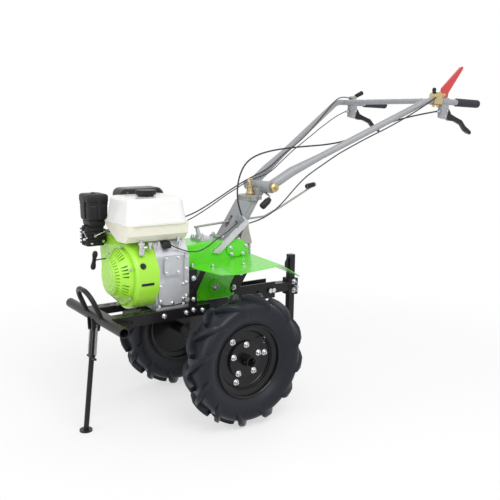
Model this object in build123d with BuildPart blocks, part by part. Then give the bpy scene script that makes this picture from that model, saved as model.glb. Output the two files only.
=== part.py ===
# Walk-behind two-wheel hand tractor: engine over the front rails, gear case over the axle,
# tall handlebars that swivel and tilt on a serrated mast, and a prop stand under the bumper.
# Millimetres. +X points forward, +Y to the machine's left, +Z up, with the floor at zero.
# The origin is on the floor, under the middle of the length and width.
import os
from math import cos, pi, radians, sin, tan

from build123d import *

os.makedirs("parts", exist_ok=True)

# Running gear
TYRE_RADIUS = 235.0
TYRE_WIDTH = 118.0
TRACK = 491.0
BEAD_RADIUS = 126.7
RIM_FLANGE_RADIUS = 131.6
RIM_HALF_WIDTH = 34.0
RIM_WALL = 3.0
RIM_WELL_RADIUS = 112.0
DISC_OFFSET = 4.0
DISC_THICKNESS = 5.0
HUB_TUBE_RADIUS = 20.0
HUB_TUBE_PROUD = 39.5
HUB_FLANGE_RADIUS = 66.0
HUB_FLANGE_THICKNESS = 8.0
HUB_PIN_RADIUS = 5.0
WHEEL_BOLT_CIRCLE = 56.0
DISC_BOLT_CIRCLE = 89.0
WHEEL_BOLT_HOLE = 4.5
AXLE_JOURNAL_RADIUS = 15.0
AXLE_HEX_RADIUS = 15.5
JOURNAL_CLEARANCE = 0.05
SLIP_CLEARANCE = 0.25
SEAT_GAP = 0.2

# Axle case and gear case
AXLE_CASE_RADIUS = 68.0
AXLE_CASE_HALF_WIDTH = 48.0
AXLE_BOSS_RADIUS = 36.0
AXLE_BOSS_REACH = 146.0
CASE_HALF_WIDTH = 62.0
CASE_BOTTOM = 411.0
CASE_TOP = 626.0
CASE_REAR = -142.0

# Engine frame and bumper
RAIL_TOP = 411.0
RAIL_HEIGHT = 38.0
RAIL_HALF_SPREAD = 100.0
RAIL_FLANGE = 44.0
RAIL_WALL = 4.0
RAIL_REAR = 54.0
BUMPER_X = 446.0
BUMPER_HEIGHT = 398.0
BUMPER_LENGTH = 447.0
BUMPER_RADIUS = 17.0
HOOP_RADIUS = 8.5
HOOP_SPREAD = 120.0
HOOP_RISE = 102.0
HOOP_LEAN = 23.0

# Prop stand
STAND_HINGE_X = 452.0
STAND_HINGE_DROP = 15.0
STAND_FOOT_X = 491.0
STAND_FOOT_RADIUS = 22.0
STAND_LEG_RADIUS = 9.0
STAND_FOOT_THICKNESS = 6.0
STAND_PIN_RADIUS = 5.0
EAR_INNER = 14.0
EAR_WALL = 5.0
PEG_RISE = 16.0
PEG_RADIUS = 3.0
SPRING_Y = 27.0
SPRING_RADIUS = 5.0
HOOK_DROP = 118.0
STRAP_RISE = 7.0
STRAP_WIDTH = 15.0

# Engine
CRANK_HEIGHT = 529.0
CRANKCASE_REAR = 136.5
CRANKCASE_FRONT = 262.0
BLOWER_RADIUS = 116.0
BLOWER_FRONT = 346.0
COVER_FRONT = 395.0
TANK_SEAM = 714.0
CYLINDER_END = 188.0
FIN_COUNT = 8
FIN_PITCH = 11.0

# Hitch
HITCH_HOLE_X = -205.0
HITCH_HOLE_RADIUS = 6.5

# Fenders
FENDER_HEIGHT = 554.0
FENDER_WIDTH = 188.0
FENDER_WALL = 2.5
FENDER_FALL_FORWARD = 0.06
FENDER_FALL_OUTWARD = 0.055
UPRIGHT_TOP = 541.0

# Mast and handlebars
SWIVEL_X = -186.0
SWIVEL_DISC_RADIUS = 44.0
MAST_HALF_WIDTH = 30.0
MAST_TOP = 762.0
PIVOT_X = -232.0
PIVOT_HEIGHT = 811.0
HANDLE_BASE_Y = 58.0
HANDLE_SPREAD = 263.0
LEVEL_RUN = 311.0
HANDLE_BEND_HEIGHT = 1143.0
HANDLE_TUBE_RADIUS = 12.5
GRIP_REACH = 1161.0
GRIP_HEIGHT = 1136.0
GRIP_LENGTH = 139.0
GRIP_RADIUS = 16.5
CROSS_BAR_SETBACK = 40.0
ADJUSTER_SETBACK = 117.0
ADJUSTER_HEIGHT = 1101.0

# The axle lies ahead of the origin by this much, so that the origin is at mid-length.
AXLE_X = (GRIP_REACH - STAND_FOOT_X - STAND_FOOT_RADIUS) / 2

# The heights are drawn with the axle at this height, and larger tyres raise all but the stand's foot.
AXLE_HEIGHT = 235.0
RISE = TYRE_RADIUS - AXLE_HEIGHT

# Places that follow from the sizes above: the hub tube's end, the stand's hinge and the controls.
HUB_TUBE_REACH = TRACK / 2 + HUB_TUBE_PROUD
STAND_HINGE_Z = BUMPER_HEIGHT - BUMPER_RADIUS - STAND_HINGE_DROP
HANDLE_BEND_X = LEVEL_RUN - GRIP_REACH
GRIP_START = GRIP_REACH - GRIP_LENGTH
CROSS_BAR_X = HANDLE_BEND_X - CROSS_BAR_SETBACK
ADJUSTER_REACH = GRIP_START - ADJUSTER_SETBACK


def at(x, y, z):
    """A point given from the axle line, as a vector in the machine's frame."""
    return Vector(AXLE_X + x, y, z + RISE)


def side_plane(y):
    """The vertical plane at y, with its sketch axes forward and up, from the axle line."""
    return Plane(origin=(AXLE_X, y, RISE), x_dir=(1, 0, 0), z_dir=(0, -1, 0))


def front_plane(x):
    """The vertical plane at x, with its sketch axes to the machine's left and up."""
    return Plane(origin=(AXLE_X + x, 0, RISE), x_dir=(0, 1, 0), z_dir=(1, 0, 0))


def floor_plane(z):
    """The level plane at height z, with its sketch axes forward and left, from the axle line."""
    return Plane(origin=(AXLE_X, 0, z + RISE))


def grip_point(x, side):
    """The point at x on the middle of a grip run: side is 1 on the left, -1 on the right."""
    slope = (HANDLE_BEND_HEIGHT - GRIP_HEIGHT) / (HANDLE_BEND_X + GRIP_REACH)
    return at(x, side * HANDLE_SPREAD, GRIP_HEIGHT + slope * (x + GRIP_REACH))


def grip_plane(x, side):
    """A plane square to the grip run at x, facing back, with its sketch axes right and up."""
    along = grip_point(x - 1, side) - grip_point(x, side)
    return Plane(origin=grip_point(x, side), x_dir=(0, -1, 0), z_dir=along)


def save(builder, name):
    """Label a finished piece and write its STEP file."""
    builder.part.label = name
    export_step(builder.part, f"parts/{name}.step")


def save_pair(left, name):
    """Write a left-hand piece and its mirror image."""
    save(left, f"{name}_left")
    with BuildPart() as right:
        mirror(left.part, about=Plane.XZ)
    save(right, f"{name}_right")


axle_line = Axis((AXLE_X, 0, TYRE_RADIUS), (0, 1, 0))
axle_plane = Plane(origin=(AXLE_X, 0, TYRE_RADIUS))
wheel_centre = TRACK / 2

# Tyre: one closed ring from bead to crown, as wide and as tall as its lugs reach.
with BuildPart() as tyre:
    with BuildSketch(axle_plane):
        with BuildLine():
            half = TYRE_WIDTH / 2
            bead = RIM_HALF_WIDTH - RIM_WALL - 1.2
            shoulder_radius = TYRE_RADIUS - 12
            lip = (RIM_FLANGE_RADIUS + 2.5, bead)
            shoulder = (shoulder_radius, half - 13)
            low = [(BEAD_RADIUS, wheel_centre - bead), (BEAD_RADIUS, wheel_centre + bead)]
            Polyline(low[0], low[1], (lip[0], wheel_centre + bead))
            ThreePointArc(
                (lip[0], wheel_centre + bead),
                (RIM_FLANGE_RADIUS + 48, wheel_centre + half),
                (shoulder[0], wheel_centre + shoulder[1]),
            )
            ThreePointArc(
                (shoulder[0], wheel_centre + shoulder[1]),
                (TYRE_RADIUS, wheel_centre),
                (shoulder[0], wheel_centre - shoulder[1]),
            )
            ThreePointArc(
                (shoulder[0], wheel_centre - shoulder[1]),
                (RIM_FLANGE_RADIUS + 48, wheel_centre - half),
                (lip[0], wheel_centre - bead),
            )
            Line((lip[0], wheel_centre - bead), low[0])
        make_face()
    revolve(axis=axle_line)
save_pair(tyre, "tyre")

# Rim: a rolled drop-centre band with the pressed disc welded inside it.
with BuildPart() as rim:
    seat = BEAD_RADIUS - SEAT_GAP
    band = [
        (RIM_FLANGE_RADIUS, RIM_HALF_WIDTH),
        (RIM_FLANGE_RADIUS, RIM_HALF_WIDTH - RIM_WALL),
        (seat, RIM_HALF_WIDTH - RIM_WALL - 1),
        (seat, RIM_HALF_WIDTH - 18),
        (RIM_WELL_RADIUS, RIM_HALF_WIDTH - 25),
    ]
    outside = band + [(r, -y) for r, y in reversed(band)]
    inside = [(r - RIM_WALL, y) for r, y in reversed(outside)]
    with BuildSketch(axle_plane):
        with BuildLine():
            Polyline(*[(r, wheel_centre + y) for r, y in outside + inside], close=True)
        make_face()
    revolve(axis=axle_line)
    disc_inner = wheel_centre + DISC_OFFSET
    with BuildSketch(side_plane(disc_inner)):
        with Locations((0, AXLE_HEIGHT)):
            Circle(RIM_WELL_RADIUS - RIM_WALL / 2)
            Circle(HUB_TUBE_RADIUS + SLIP_CLEARANCE, mode=Mode.SUBTRACT)
            with PolarLocations(WHEEL_BOLT_CIRCLE, 6, start_angle=30):
                Circle(WHEEL_BOLT_HOLE, mode=Mode.SUBTRACT)
            with PolarLocations(DISC_BOLT_CIRCLE, 3, start_angle=90):
                Circle(WHEEL_BOLT_HOLE, mode=Mode.SUBTRACT)
    extrude(amount=-DISC_THICKNESS)
save_pair(rim, "rim")

# Hub: a tube with a hexagonal bore and a bolting flange against the wheel disc.
with BuildPart() as hub:
    with BuildSketch(side_plane(AXLE_BOSS_REACH + 6)):
        with Locations((0, AXLE_HEIGHT)):
            Circle(HUB_TUBE_RADIUS)
            RegularPolygon(AXLE_HEX_RADIUS + SLIP_CLEARANCE, 6, major_radius=False, mode=Mode.SUBTRACT)
    extrude(amount=-(HUB_TUBE_REACH - AXLE_BOSS_REACH - 6))
    with BuildSketch(side_plane(disc_inner - SEAT_GAP - HUB_FLANGE_THICKNESS)):
        with Locations((0, AXLE_HEIGHT)):
            Circle(HUB_FLANGE_RADIUS)
            Circle(HUB_TUBE_RADIUS - 1, mode=Mode.SUBTRACT)
            with PolarLocations(WHEEL_BOLT_CIRCLE, 6, start_angle=30):
                Circle(WHEEL_BOLT_HOLE, mode=Mode.SUBTRACT)
    extrude(amount=-HUB_FLANGE_THICKNESS)
    with Locations(Plane(origin=at(0, HUB_TUBE_REACH - 12, AXLE_HEIGHT), z_dir=(1, 0, 0))):
        Cylinder(HUB_PIN_RADIUS, 3 * HUB_TUBE_RADIUS, mode=Mode.SUBTRACT)
save_pair(hub, "hub")

# Half axle: a round journal in the axle case, then a hexagon inside the hub.
with BuildPart() as half_axle:
    with BuildSketch(side_plane(14)):
        with Locations((0, AXLE_HEIGHT)):
            Circle(AXLE_JOURNAL_RADIUS)
    extrude(amount=-(AXLE_BOSS_REACH + 2 - 14))
    with BuildSketch(side_plane(AXLE_BOSS_REACH + 2)):
        with Locations((0, AXLE_HEIGHT)):
            RegularPolygon(AXLE_HEX_RADIUS, 6, major_radius=False)
    extrude(amount=-(HUB_TUBE_REACH - 40 - AXLE_BOSS_REACH - 2))
save_pair(half_axle, "half_axle")

# Axle case: a cast leg under the gear case, round at the axle, with a boss to each side.
with BuildPart() as axle_case:
    neck_front, neck_rear = 52.0, -62.0
    with BuildSketch(side_plane(AXLE_CASE_HALF_WIDTH)):
        with BuildLine():
            top = CASE_BOTTOM - SEAT_GAP
            reach = AXLE_CASE_RADIUS
            Line((neck_front, top), (neck_front, AXLE_HEIGHT + 50))
            Line((neck_front, AXLE_HEIGHT + 50), (reach, AXLE_HEIGHT))
            ThreePointArc((reach, AXLE_HEIGHT), (0, AXLE_HEIGHT - reach), (-reach, AXLE_HEIGHT))
            Line((-reach, AXLE_HEIGHT), (neck_rear, AXLE_HEIGHT + 70))
            Line((neck_rear, AXLE_HEIGHT + 70), (neck_rear, top))
            Line((neck_rear, top), (neck_front, top))
        make_face()
    extrude(amount=2 * AXLE_CASE_HALF_WIDTH)
    fillet(axle_case.edges().filter_by(Axis.Y, reverse=True).filter_by(GeomType.LINE).sort_by(Axis.Z)[:8], 6)
    with BuildSketch(side_plane(AXLE_BOSS_REACH)):
        with Locations((0, AXLE_HEIGHT)):
            Circle(AXLE_BOSS_RADIUS)
    extrude(amount=2 * AXLE_BOSS_REACH)
    with BuildSketch(side_plane(AXLE_CASE_HALF_WIDTH + 12)):
        with Locations((0, AXLE_HEIGHT)):
            Circle(AXLE_BOSS_RADIUS + 18)
    extrude(amount=2 * (AXLE_CASE_HALF_WIDTH + 12))
    with BuildSketch(side_plane(AXLE_BOSS_REACH)):
        with Locations((0, AXLE_HEIGHT)):
            Circle(AXLE_JOURNAL_RADIUS + JOURNAL_CLEARANCE)
    extrude(amount=2 * AXLE_BOSS_REACH, mode=Mode.SUBTRACT)
save(axle_case, "axle_case")

# Gear case: the green casting that carries the mast, the fenders and the engine.
with BuildPart() as gear_case:
    with BuildSketch(side_plane(CASE_HALF_WIDTH)) as case_side:
        with BuildLine():
            Polyline(
                (CRANKCASE_REAR - SEAT_GAP, 505),
                (CRANKCASE_REAR - SEAT_GAP, CASE_TOP - 6),
                (60, CASE_TOP),
                (CASE_REAR + 42, CASE_TOP),
                (CASE_REAR, CASE_TOP - 22),
                (CASE_REAR, 536),
                (-98, 505),
                (-76, CASE_BOTTOM),
                (113, CASE_BOTTOM),
                close=True,
            )
        make_face()
        fillet(case_side.vertices().group_by(Axis.X)[0], 26)
    extrude(amount=2 * CASE_HALF_WIDTH)
    fillet(gear_case.faces().filter_by(Axis.Y).edges(), 7)
    with BuildSketch(side_plane(CASE_HALF_WIDTH + 6)):
        with Locations((-84, 592)):
            Ellipse(46, 27)
        for boss in ((-54, 598), (-122, 600), (-84, 614), (-60, 574), (-108, 572)):
            with Locations(boss):
                Circle(9)
    extrude(amount=2 * CASE_HALF_WIDTH + 12)
    with BuildSketch(side_plane(CASE_HALF_WIDTH + 4)):
        with Locations((8, 460)):
            Circle(27)
        with Locations((72, 440), (-44, 440)):
            Circle(10)
    extrude(amount=2 * CASE_HALF_WIDTH + 8)
save(gear_case, "gear_case")

# Selector plate: an aluminium cover on the front of the gear case, with a short lever on it.
with BuildPart() as selector_plate:
    with BuildSketch(floor_plane(CASE_TOP + SEAT_GAP)):
        with Locations((26, 0)):
            RectangleRounded(62, 84, 14)
    extrude(amount=9)
    with BuildSketch(floor_plane(CASE_TOP + 9)):
        with Locations((38, 0)):
            Circle(15)
    extrude(amount=9)
    with BuildSketch(side_plane(5)):
        with BuildLine():
            Polyline(
                (31, CASE_TOP + 12), (45, CASE_TOP + 12), (52, CASE_TOP + 43.8), (42, CASE_TOP + 44.6),
                close=True,
            )
        make_face()
    extrude(amount=10)
save(selector_plate, "selector_plate")

# Rails: an angle each side with its slotted flange, and the gusset strip to the bumper's end.
rail_front = BUMPER_X - 4
with BuildPart() as rail:
    outer = RAIL_HALF_SPREAD
    with BuildSketch(front_plane(RAIL_REAR)):
        with BuildLine():
            Polyline(
                (outer, RAIL_TOP),
                (outer - RAIL_FLANGE, RAIL_TOP),
                (outer - RAIL_FLANGE, RAIL_TOP - RAIL_WALL),
                (outer - RAIL_WALL, RAIL_TOP - RAIL_WALL),
                (outer - RAIL_WALL, RAIL_TOP - RAIL_HEIGHT),
                (outer, RAIL_TOP - RAIL_HEIGHT),
                close=True,
            )
        make_face()
    extrude(amount=rail_front - RAIL_REAR)
    with BuildSketch(floor_plane(RAIL_TOP - RAIL_WALL - 1)):
        for slot_x in (290, 330, 370):
            with Locations((slot_x, outer - RAIL_FLANGE / 2)):
                SlotOverall(26, 9)
    extrude(amount=RAIL_WALL + 2, mode=Mode.SUBTRACT)
    with BuildSketch(floor_plane(RAIL_TOP - 22)):
        with BuildLine():
            Polyline(
                (rail_front - 90, outer - RAIL_WALL),
                (rail_front, outer - RAIL_WALL),
                (rail_front, outer + 84),
                (rail_front - 12, outer + 84),
                close=True,
            )
        make_face()
    extrude(amount=5)
    with BuildSketch(side_plane(BUMPER_LENGTH)):
        with Locations((BUMPER_X, BUMPER_HEIGHT)):
            Circle(BUMPER_RADIUS + SEAT_GAP)
    extrude(amount=2 * BUMPER_LENGTH, mode=Mode.SUBTRACT)
save_pair(rail, "rail")

# Cross members: three flat bars between the rails and the plate behind the bumper.
with BuildPart() as cross_members:
    for cross in (RAIL_REAR, CRANKCASE_REAR + 20, 300):
        with BuildSketch(front_plane(cross)):
            with Locations((0, RAIL_TOP - RAIL_HEIGHT / 2 - RAIL_WALL / 2 - SEAT_GAP)):
                Rectangle(2 * (RAIL_HALF_SPREAD - RAIL_WALL - SEAT_GAP), RAIL_HEIGHT - RAIL_WALL)
        extrude(amount=RAIL_WALL)
    with BuildSketch(floor_plane(RAIL_TOP - RAIL_WALL)):
        with Locations((rail_front - 14, 0)):
            Rectangle(28, 2 * (RAIL_HALF_SPREAD - RAIL_FLANGE - SEAT_GAP))
    extrude(amount=RAIL_WALL)
    with BuildSketch(side_plane(BUMPER_LENGTH)):
        with Locations((BUMPER_X, BUMPER_HEIGHT)):
            Circle(BUMPER_RADIUS + SEAT_GAP)
    extrude(amount=2 * BUMPER_LENGTH, mode=Mode.SUBTRACT)
save(cross_members, "cross_members")

# Bumper: an open-ended cross tube with a lifting hoop and the two stand ears welded to it.
with BuildPart() as bumper:
    with BuildSketch(side_plane(BUMPER_LENGTH / 2)):
        with Locations((BUMPER_X, BUMPER_HEIGHT)):
            Circle(BUMPER_RADIUS)
    extrude(amount=BUMPER_LENGTH)
    lean = radians(HOOP_LEAN)
    hoop_plane = Plane(
        origin=at(BUMPER_X + 4, 0, BUMPER_HEIGHT + 6),
        x_dir=(0, 1, 0),
        z_dir=(cos(lean), 0, -sin(lean)),
    )
    with BuildLine(hoop_plane) as hoop_line:
        half_hoop = HOOP_SPREAD / 2
        FilletPolyline(
            (-half_hoop, 0), (-half_hoop, HOOP_RISE), (half_hoop, HOOP_RISE), (half_hoop, 0), radius=48
        )
    with BuildSketch(Plane(origin=hoop_line.line @ 0, z_dir=hoop_line.line % 0)):
        Circle(HOOP_RADIUS)
    sweep(path=hoop_line.line)
    for side in (1, -1):
        with BuildSketch(side_plane(side * (EAR_INNER + EAR_WALL / 2) + EAR_WALL / 2)):
            with BuildLine():
                Polyline(
                    (BUMPER_X - 16, BUMPER_HEIGHT),
                    (BUMPER_X + 22, BUMPER_HEIGHT),
                    (STAND_HINGE_X + 14, STAND_HINGE_Z - 12),
                    (STAND_HINGE_X - 12, STAND_HINGE_Z - 14),
                    close=True,
                )
            make_face()
        extrude(amount=EAR_WALL)
        with BuildSketch(side_plane(side * (EAR_INNER + 1))):
            with Locations((STAND_HINGE_X, STAND_HINGE_Z + PEG_RISE)):
                Circle(PEG_RADIUS)
        extrude(amount=-side * (SPRING_Y + SPRING_RADIUS - EAR_INNER - 1))
    with BuildSketch(side_plane(BUMPER_LENGTH / 2)):
        with Locations((BUMPER_X, BUMPER_HEIGHT)):
            Circle(BUMPER_RADIUS - 3)
    extrude(amount=BUMPER_LENGTH, mode=Mode.SUBTRACT)
    with BuildSketch(side_plane(40)):
        with Locations((STAND_HINGE_X, STAND_HINGE_Z)):
            Circle(STAND_PIN_RADIUS)
    extrude(amount=80, mode=Mode.SUBTRACT)
save(bumper, "bumper")

# Stand leg: a strap and a round bar that lean forward to a flat foot, with their hinge pin.
leg_run = STAND_FOOT_X - STAND_HINGE_X
leg_drop = STAND_HINGE_Z + RISE
leg_plane = Plane(
    origin=at(STAND_HINGE_X, 0, STAND_HINGE_Z), x_dir=(0, 1, 0), z_dir=(leg_run, 0, -leg_drop)
)
leg_length = (leg_run**2 + leg_drop**2) ** 0.5
with BuildPart() as stand_leg:
    with BuildSketch(leg_plane):
        Circle(STAND_LEG_RADIUS)
    extrude(amount=leg_length)
    with BuildSketch(leg_plane.offset(-STRAP_RISE)):
        Rectangle(2 * (EAR_INNER - 0.5), STRAP_WIDTH)
    extrude(amount=HOOK_DROP - 13 + STRAP_RISE)
    with BuildSketch(leg_plane.offset(HOOK_DROP - 13)):
        Rectangle(64, 9)
    extrude(amount=6)
    with BuildSketch(floor_plane(STAND_FOOT_THICKNESS - RISE)):
        with Locations((STAND_FOOT_X, 0)):
            Rectangle(60, 60)
    extrude(amount=-30, mode=Mode.SUBTRACT)
    with BuildSketch(floor_plane(-RISE)):
        with Locations((STAND_FOOT_X, 0)):
            Circle(STAND_FOOT_RADIUS)
    extrude(amount=STAND_FOOT_THICKNESS)
    pin_reach = EAR_INNER + EAR_WALL + 1.5
    with BuildSketch(side_plane(pin_reach)):
        with Locations((STAND_HINGE_X, STAND_HINGE_Z)):
            Circle(STAND_PIN_RADIUS - JOURNAL_CLEARANCE)
    extrude(amount=2 * pin_reach)
save(stand_leg, "stand_leg")

# Stand springs: one each side of the leg, from a peg on each ear down to the cross-arm.
with BuildPart() as stand_springs:
    for y in (-SPRING_Y, SPRING_Y):
        spring_top = at(STAND_HINGE_X, y, STAND_HINGE_Z + PEG_RISE - PEG_RADIUS - 0.3)
        spring_foot = leg_plane.origin + leg_plane.z_dir * (HOOK_DROP - 13.3) + Vector(0, y, 0)
        with BuildLine() as spring_line:
            Line(spring_top, spring_foot)
        with BuildSketch(Plane(origin=spring_top, z_dir=spring_foot - spring_top)):
            Circle(SPRING_RADIUS)
        sweep(path=spring_line.line)
save(stand_springs, "stand_springs")

# Crankcase: a finned aluminium block with its foot on the rails and its cylinder to the right.
with BuildPart() as crankcase:
    with BuildSketch(floor_plane(RAIL_TOP + SEAT_GAP)):
        with Locations(((CRANKCASE_REAR + CRANKCASE_FRONT) / 2, 0)):
            Rectangle(CRANKCASE_FRONT - CRANKCASE_REAR, 176)
    extrude(amount=9)
    with BuildSketch(front_plane(CRANKCASE_REAR)) as block_end:
        with BuildLine():
            Polyline((-80, 420), (86, 420), (92, 600), (60, 650.8), (-30, 650.8), (-96, 600), close=True)
        make_face()
        fillet(block_end.vertices().group_by(Axis.Z)[-1], 16)
    extrude(amount=CRANKCASE_FRONT - CRANKCASE_REAR)
    tilt = radians(25)
    bore_plane = Plane(
        origin=at((CRANKCASE_REAR + CRANKCASE_FRONT) / 2, 0, CRANK_HEIGHT + 8),
        x_dir=(1, 0, 0),
        z_dir=(0, -cos(tilt), sin(tilt)),
    )
    with BuildSketch(bore_plane.offset(70)):
        RectangleRounded(CRANKCASE_FRONT - CRANKCASE_REAR - 12, 128, 10)
    extrude(amount=CYLINDER_END - 70)
    for fin in range(FIN_COUNT):
        with BuildSketch(bore_plane.offset(106 + FIN_PITCH * fin)):
            RectangleRounded(CRANKCASE_FRONT - CRANKCASE_REAR - 1, 144, 12)
        extrude(amount=4)
    with BuildSketch(side_plane(102)):
        with Locations((205, 566)):
            RectangleRounded(62, 66, 12)
        with Locations((148, 596), (148, 440)):
            Circle(9)
    extrude(amount=22)
    with BuildSketch(side_plane(97)):
        with Locations((204, 470)):
            RectangleRounded(104, 84, 34)
        with Locations((147, 520)):
            RectangleRounded(18, 168, 6)
    extrude(amount=17)
save(crankcase, "crankcase")

# Rocker cover: the pressed lid on the end of the cylinder.
with BuildPart() as rocker_cover:
    with BuildSketch(bore_plane.offset(CYLINDER_END + SEAT_GAP)):
        RectangleRounded(112, 118, 16)
    extrude(amount=34)
    fillet(rocker_cover.faces().sort_by(Axis.Y)[0].edges(), 9)
save(rocker_cover, "rocker_cover")

# Blower housing: a round pressing over the flywheel that reaches out over the cylinder.
with BuildPart() as blower_housing:
    with BuildSketch(front_plane(CRANKCASE_FRONT + SEAT_GAP)):
        with Locations((0, CRANK_HEIGHT)):
            Circle(BLOWER_RADIUS)
        with BuildLine():
            Polyline((-20, 646), (-150, 664), (-192, 622), (-176, 520), (-90, 456), close=True)
        make_face()
    extrude(amount=BLOWER_FRONT - CRANKCASE_FRONT - SEAT_GAP)
    fillet(blower_housing.faces().sort_by(Axis.X)[-1].edges(), 12)
save(blower_housing, "blower_housing")

# Recoil cover: the louvred bowl bolted to the front of the blower housing.
with BuildPart() as recoil_cover:
    crank_line = Axis(at(0, 0, CRANK_HEIGHT), (1, 0, 0))
    crank_plane = Plane(origin=at(0, 0, CRANK_HEIGHT), x_dir=(1, 0, 0), z_dir=(0, -1, 0))
    cover_back = BLOWER_FRONT + SEAT_GAP
    with BuildSketch(crank_plane):
        with BuildLine():
            Polyline(
                (cover_back, 0),
                (cover_back, 96),
                (cover_back + 10, 96),
                (COVER_FRONT - 8, 66),
                (COVER_FRONT, 60),
                (COVER_FRONT, 0),
                close=True,
            )
        make_face()
    revolve(axis=crank_line)
    with BuildSketch(front_plane(COVER_FRONT - 14)):
        with Locations((0, CRANK_HEIGHT)):
            with PolarLocations(62, 36, start_angle=5):
                Rectangle(12, 3)
    extrude(amount=20, mode=Mode.SUBTRACT)
    with BuildSketch(front_plane(cover_back + 8)):
        with Locations((0, CRANK_HEIGHT)):
            for group_angle in (20, 65, 150, 205, 290, 335):
                with PolarLocations(82, 4, start_angle=group_angle - 12, angular_range=24, endpoint=True):
                    Rectangle(18, 5)
    extrude(amount=60, mode=Mode.SUBTRACT)
save(recoil_cover, "recoil_cover")

# Recoil grip: a hand-sized bar that hangs on its rope beside the cover.
with BuildPart() as recoil_grip:
    with BuildLine() as grip_line:
        Line(at(404, -116, 596), at(404, -104, 544))
    with BuildSketch(Plane(origin=grip_line.line @ 0, z_dir=grip_line.line % 0)):
        Ellipse(9, 7)
    sweep(path=grip_line.line)
    with BuildSketch(front_plane(BLOWER_FRONT + SEAT_GAP)):
        with Locations((-110, 570)):
            Circle(5)
    extrude(amount=404 - BLOWER_FRONT - SEAT_GAP)
    fillet(recoil_grip.edges().sort_by(Axis.Z)[-1], 3)
save(recoil_grip, "recoil_grip")

# Fuel tank: two steel pressings joined at a flanged seam, the lower one cut away over the head.
tank_rear, tank_front = 138.0, 373.0
tank_right, tank_left = -92.0, 112.0
tank_middle = ((tank_rear + tank_front) / 2, (tank_right + tank_left) / 2)
tank_size = (tank_front - tank_rear, tank_left - tank_right)
with BuildPart() as tank_upper:
    with BuildSketch(floor_plane(TANK_SEAM)):
        with Locations(tank_middle):
            RectangleRounded(tank_size[0], tank_size[1], 34)
    extrude(amount=3)
    with BuildSketch(floor_plane(TANK_SEAM + 3)):
        with Locations(tank_middle):
            RectangleRounded(tank_size[0] - 8, tank_size[1] - 8, 32)
    with BuildSketch(floor_plane(TANK_SEAM + 84)):
        with Locations(tank_middle):
            RectangleRounded(tank_size[0] - 34, tank_size[1] - 34, 28)
    loft()
    fillet(tank_upper.faces().sort_by(Axis.Z)[-1].edges(), 13)
save(tank_upper, "tank_upper")

with BuildPart() as tank_lower:
    with BuildSketch(floor_plane(TANK_SEAM - SEAT_GAP)):
        with Locations(tank_middle):
            RectangleRounded(tank_size[0], tank_size[1], 34)
    extrude(amount=-3)
    with BuildSketch(front_plane(tank_rear + 6)):
        with BuildLine():
            Polyline(
                (tank_left - 6, TANK_SEAM - 2),
                (tank_left - 12, 676),
                (tank_left - 34, 653),
                (10, 651),
                (-74, 694),
                (tank_right + 6, TANK_SEAM - 2),
                close=True,
            )
        make_face()
    extrude(amount=tank_size[0] - 12)
    fillet(tank_lower.edges().filter_by(Axis.X).group_by(Axis.Z)[0], 12)
save(tank_lower, "tank_lower")

# Fuel cap: a ribbed plastic cap on the filler.
with BuildPart() as fuel_cap:
    cap_base = TANK_SEAM + 84 + SEAT_GAP
    with BuildSketch(floor_plane(cap_base)):
        with Locations((258, 12)):
            Circle(28)
    extrude(amount=6)
    with BuildSketch(floor_plane(cap_base + 6)):
        with Locations((258, 12)):
            Circle(35)
            with PolarLocations(36.5, 24):
                Circle(2.4, mode=Mode.SUBTRACT)
    extrude(amount=15)
save(fuel_cap, "fuel_cap")

# Air cleaner: a moulded box ahead of the tank on the right-hand side.
with BuildPart() as air_cleaner:
    with BuildSketch(floor_plane(686)):
        with Locations((390, -140)):
            RectangleRounded(84, 74, 12)
    extrude(amount=42)
    with BuildSketch(floor_plane(728)):
        with Locations((390, -140)):
            RectangleRounded(94, 84, 14)
    extrude(amount=72)
    fillet(air_cleaner.faces().sort_by(Axis.Z)[-1].edges(), 12)
save(air_cleaner, "air_cleaner")

# Carburettor: the body and elbow between the air cleaner and the cylinder head.
with BuildPart() as carburettor:
    with BuildSketch(floor_plane(618)):
        with Locations((388, -140)):
            RectangleRounded(64, 56, 10)
    extrude(amount=68 - SEAT_GAP)
    with BuildSketch(front_plane(BLOWER_FRONT + SEAT_GAP)):
        with Locations((-140, 640)):
            Circle(19)
    extrude(amount=20)
save(carburettor, "carburettor")

# Muffler: a pressed can under its guard, behind the tank on the right.
with BuildPart() as muffler:
    with BuildSketch(floor_plane(704)):
        with Locations((204, -154)):
            RectangleRounded(170, 108, 26)
    extrude(amount=108)
    fillet(muffler.faces().sort_by(Axis.Z)[-1].edges(), 24)
    with BuildSketch(floor_plane(681)):
        with Locations((204, -121)):
            Circle(17)
    extrude(amount=26)
save(muffler, "muffler")

# Fender: one folded sheet each side, nearly level over the wheel and turned down behind it.
with BuildPart() as fender:
    fender_plane = Plane(
        origin=at(0, CASE_HALF_WIDTH + SEAT_GAP, FENDER_HEIGHT),
        x_dir=(1, 0, -FENDER_FALL_FORWARD),
        z_dir=(FENDER_FALL_FORWARD, FENDER_FALL_OUTWARD, 1),
    )
    fold_plane = Plane(origin=fender_plane.origin, x_dir=fender_plane.x_dir, z_dir=-fender_plane.y_dir)
    with BuildSketch(fold_plane):
        with BuildLine():
            Polyline(
                (120, 0), (120, FENDER_WALL), (-152, FENDER_WALL), (-244, FENDER_WALL - 60),
                (-244, -60), (-152, 0), close=True,
            )
        make_face()
    extrude(amount=-FENDER_WIDTH)
    with BuildSketch(fender_plane.offset(-90)):
        with BuildLine():
            Polyline(
                (120, 0), (120, 32), (88, 158), (30, FENDER_WIDTH), (-152, FENDER_WIDTH),
                (-244, FENDER_WIDTH - 12), (-244, 46), (-152, 0), close=True,
            )
        make_face()
    extrude(amount=180, mode=Mode.INTERSECT)
save_pair(fender, "fender")

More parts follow.
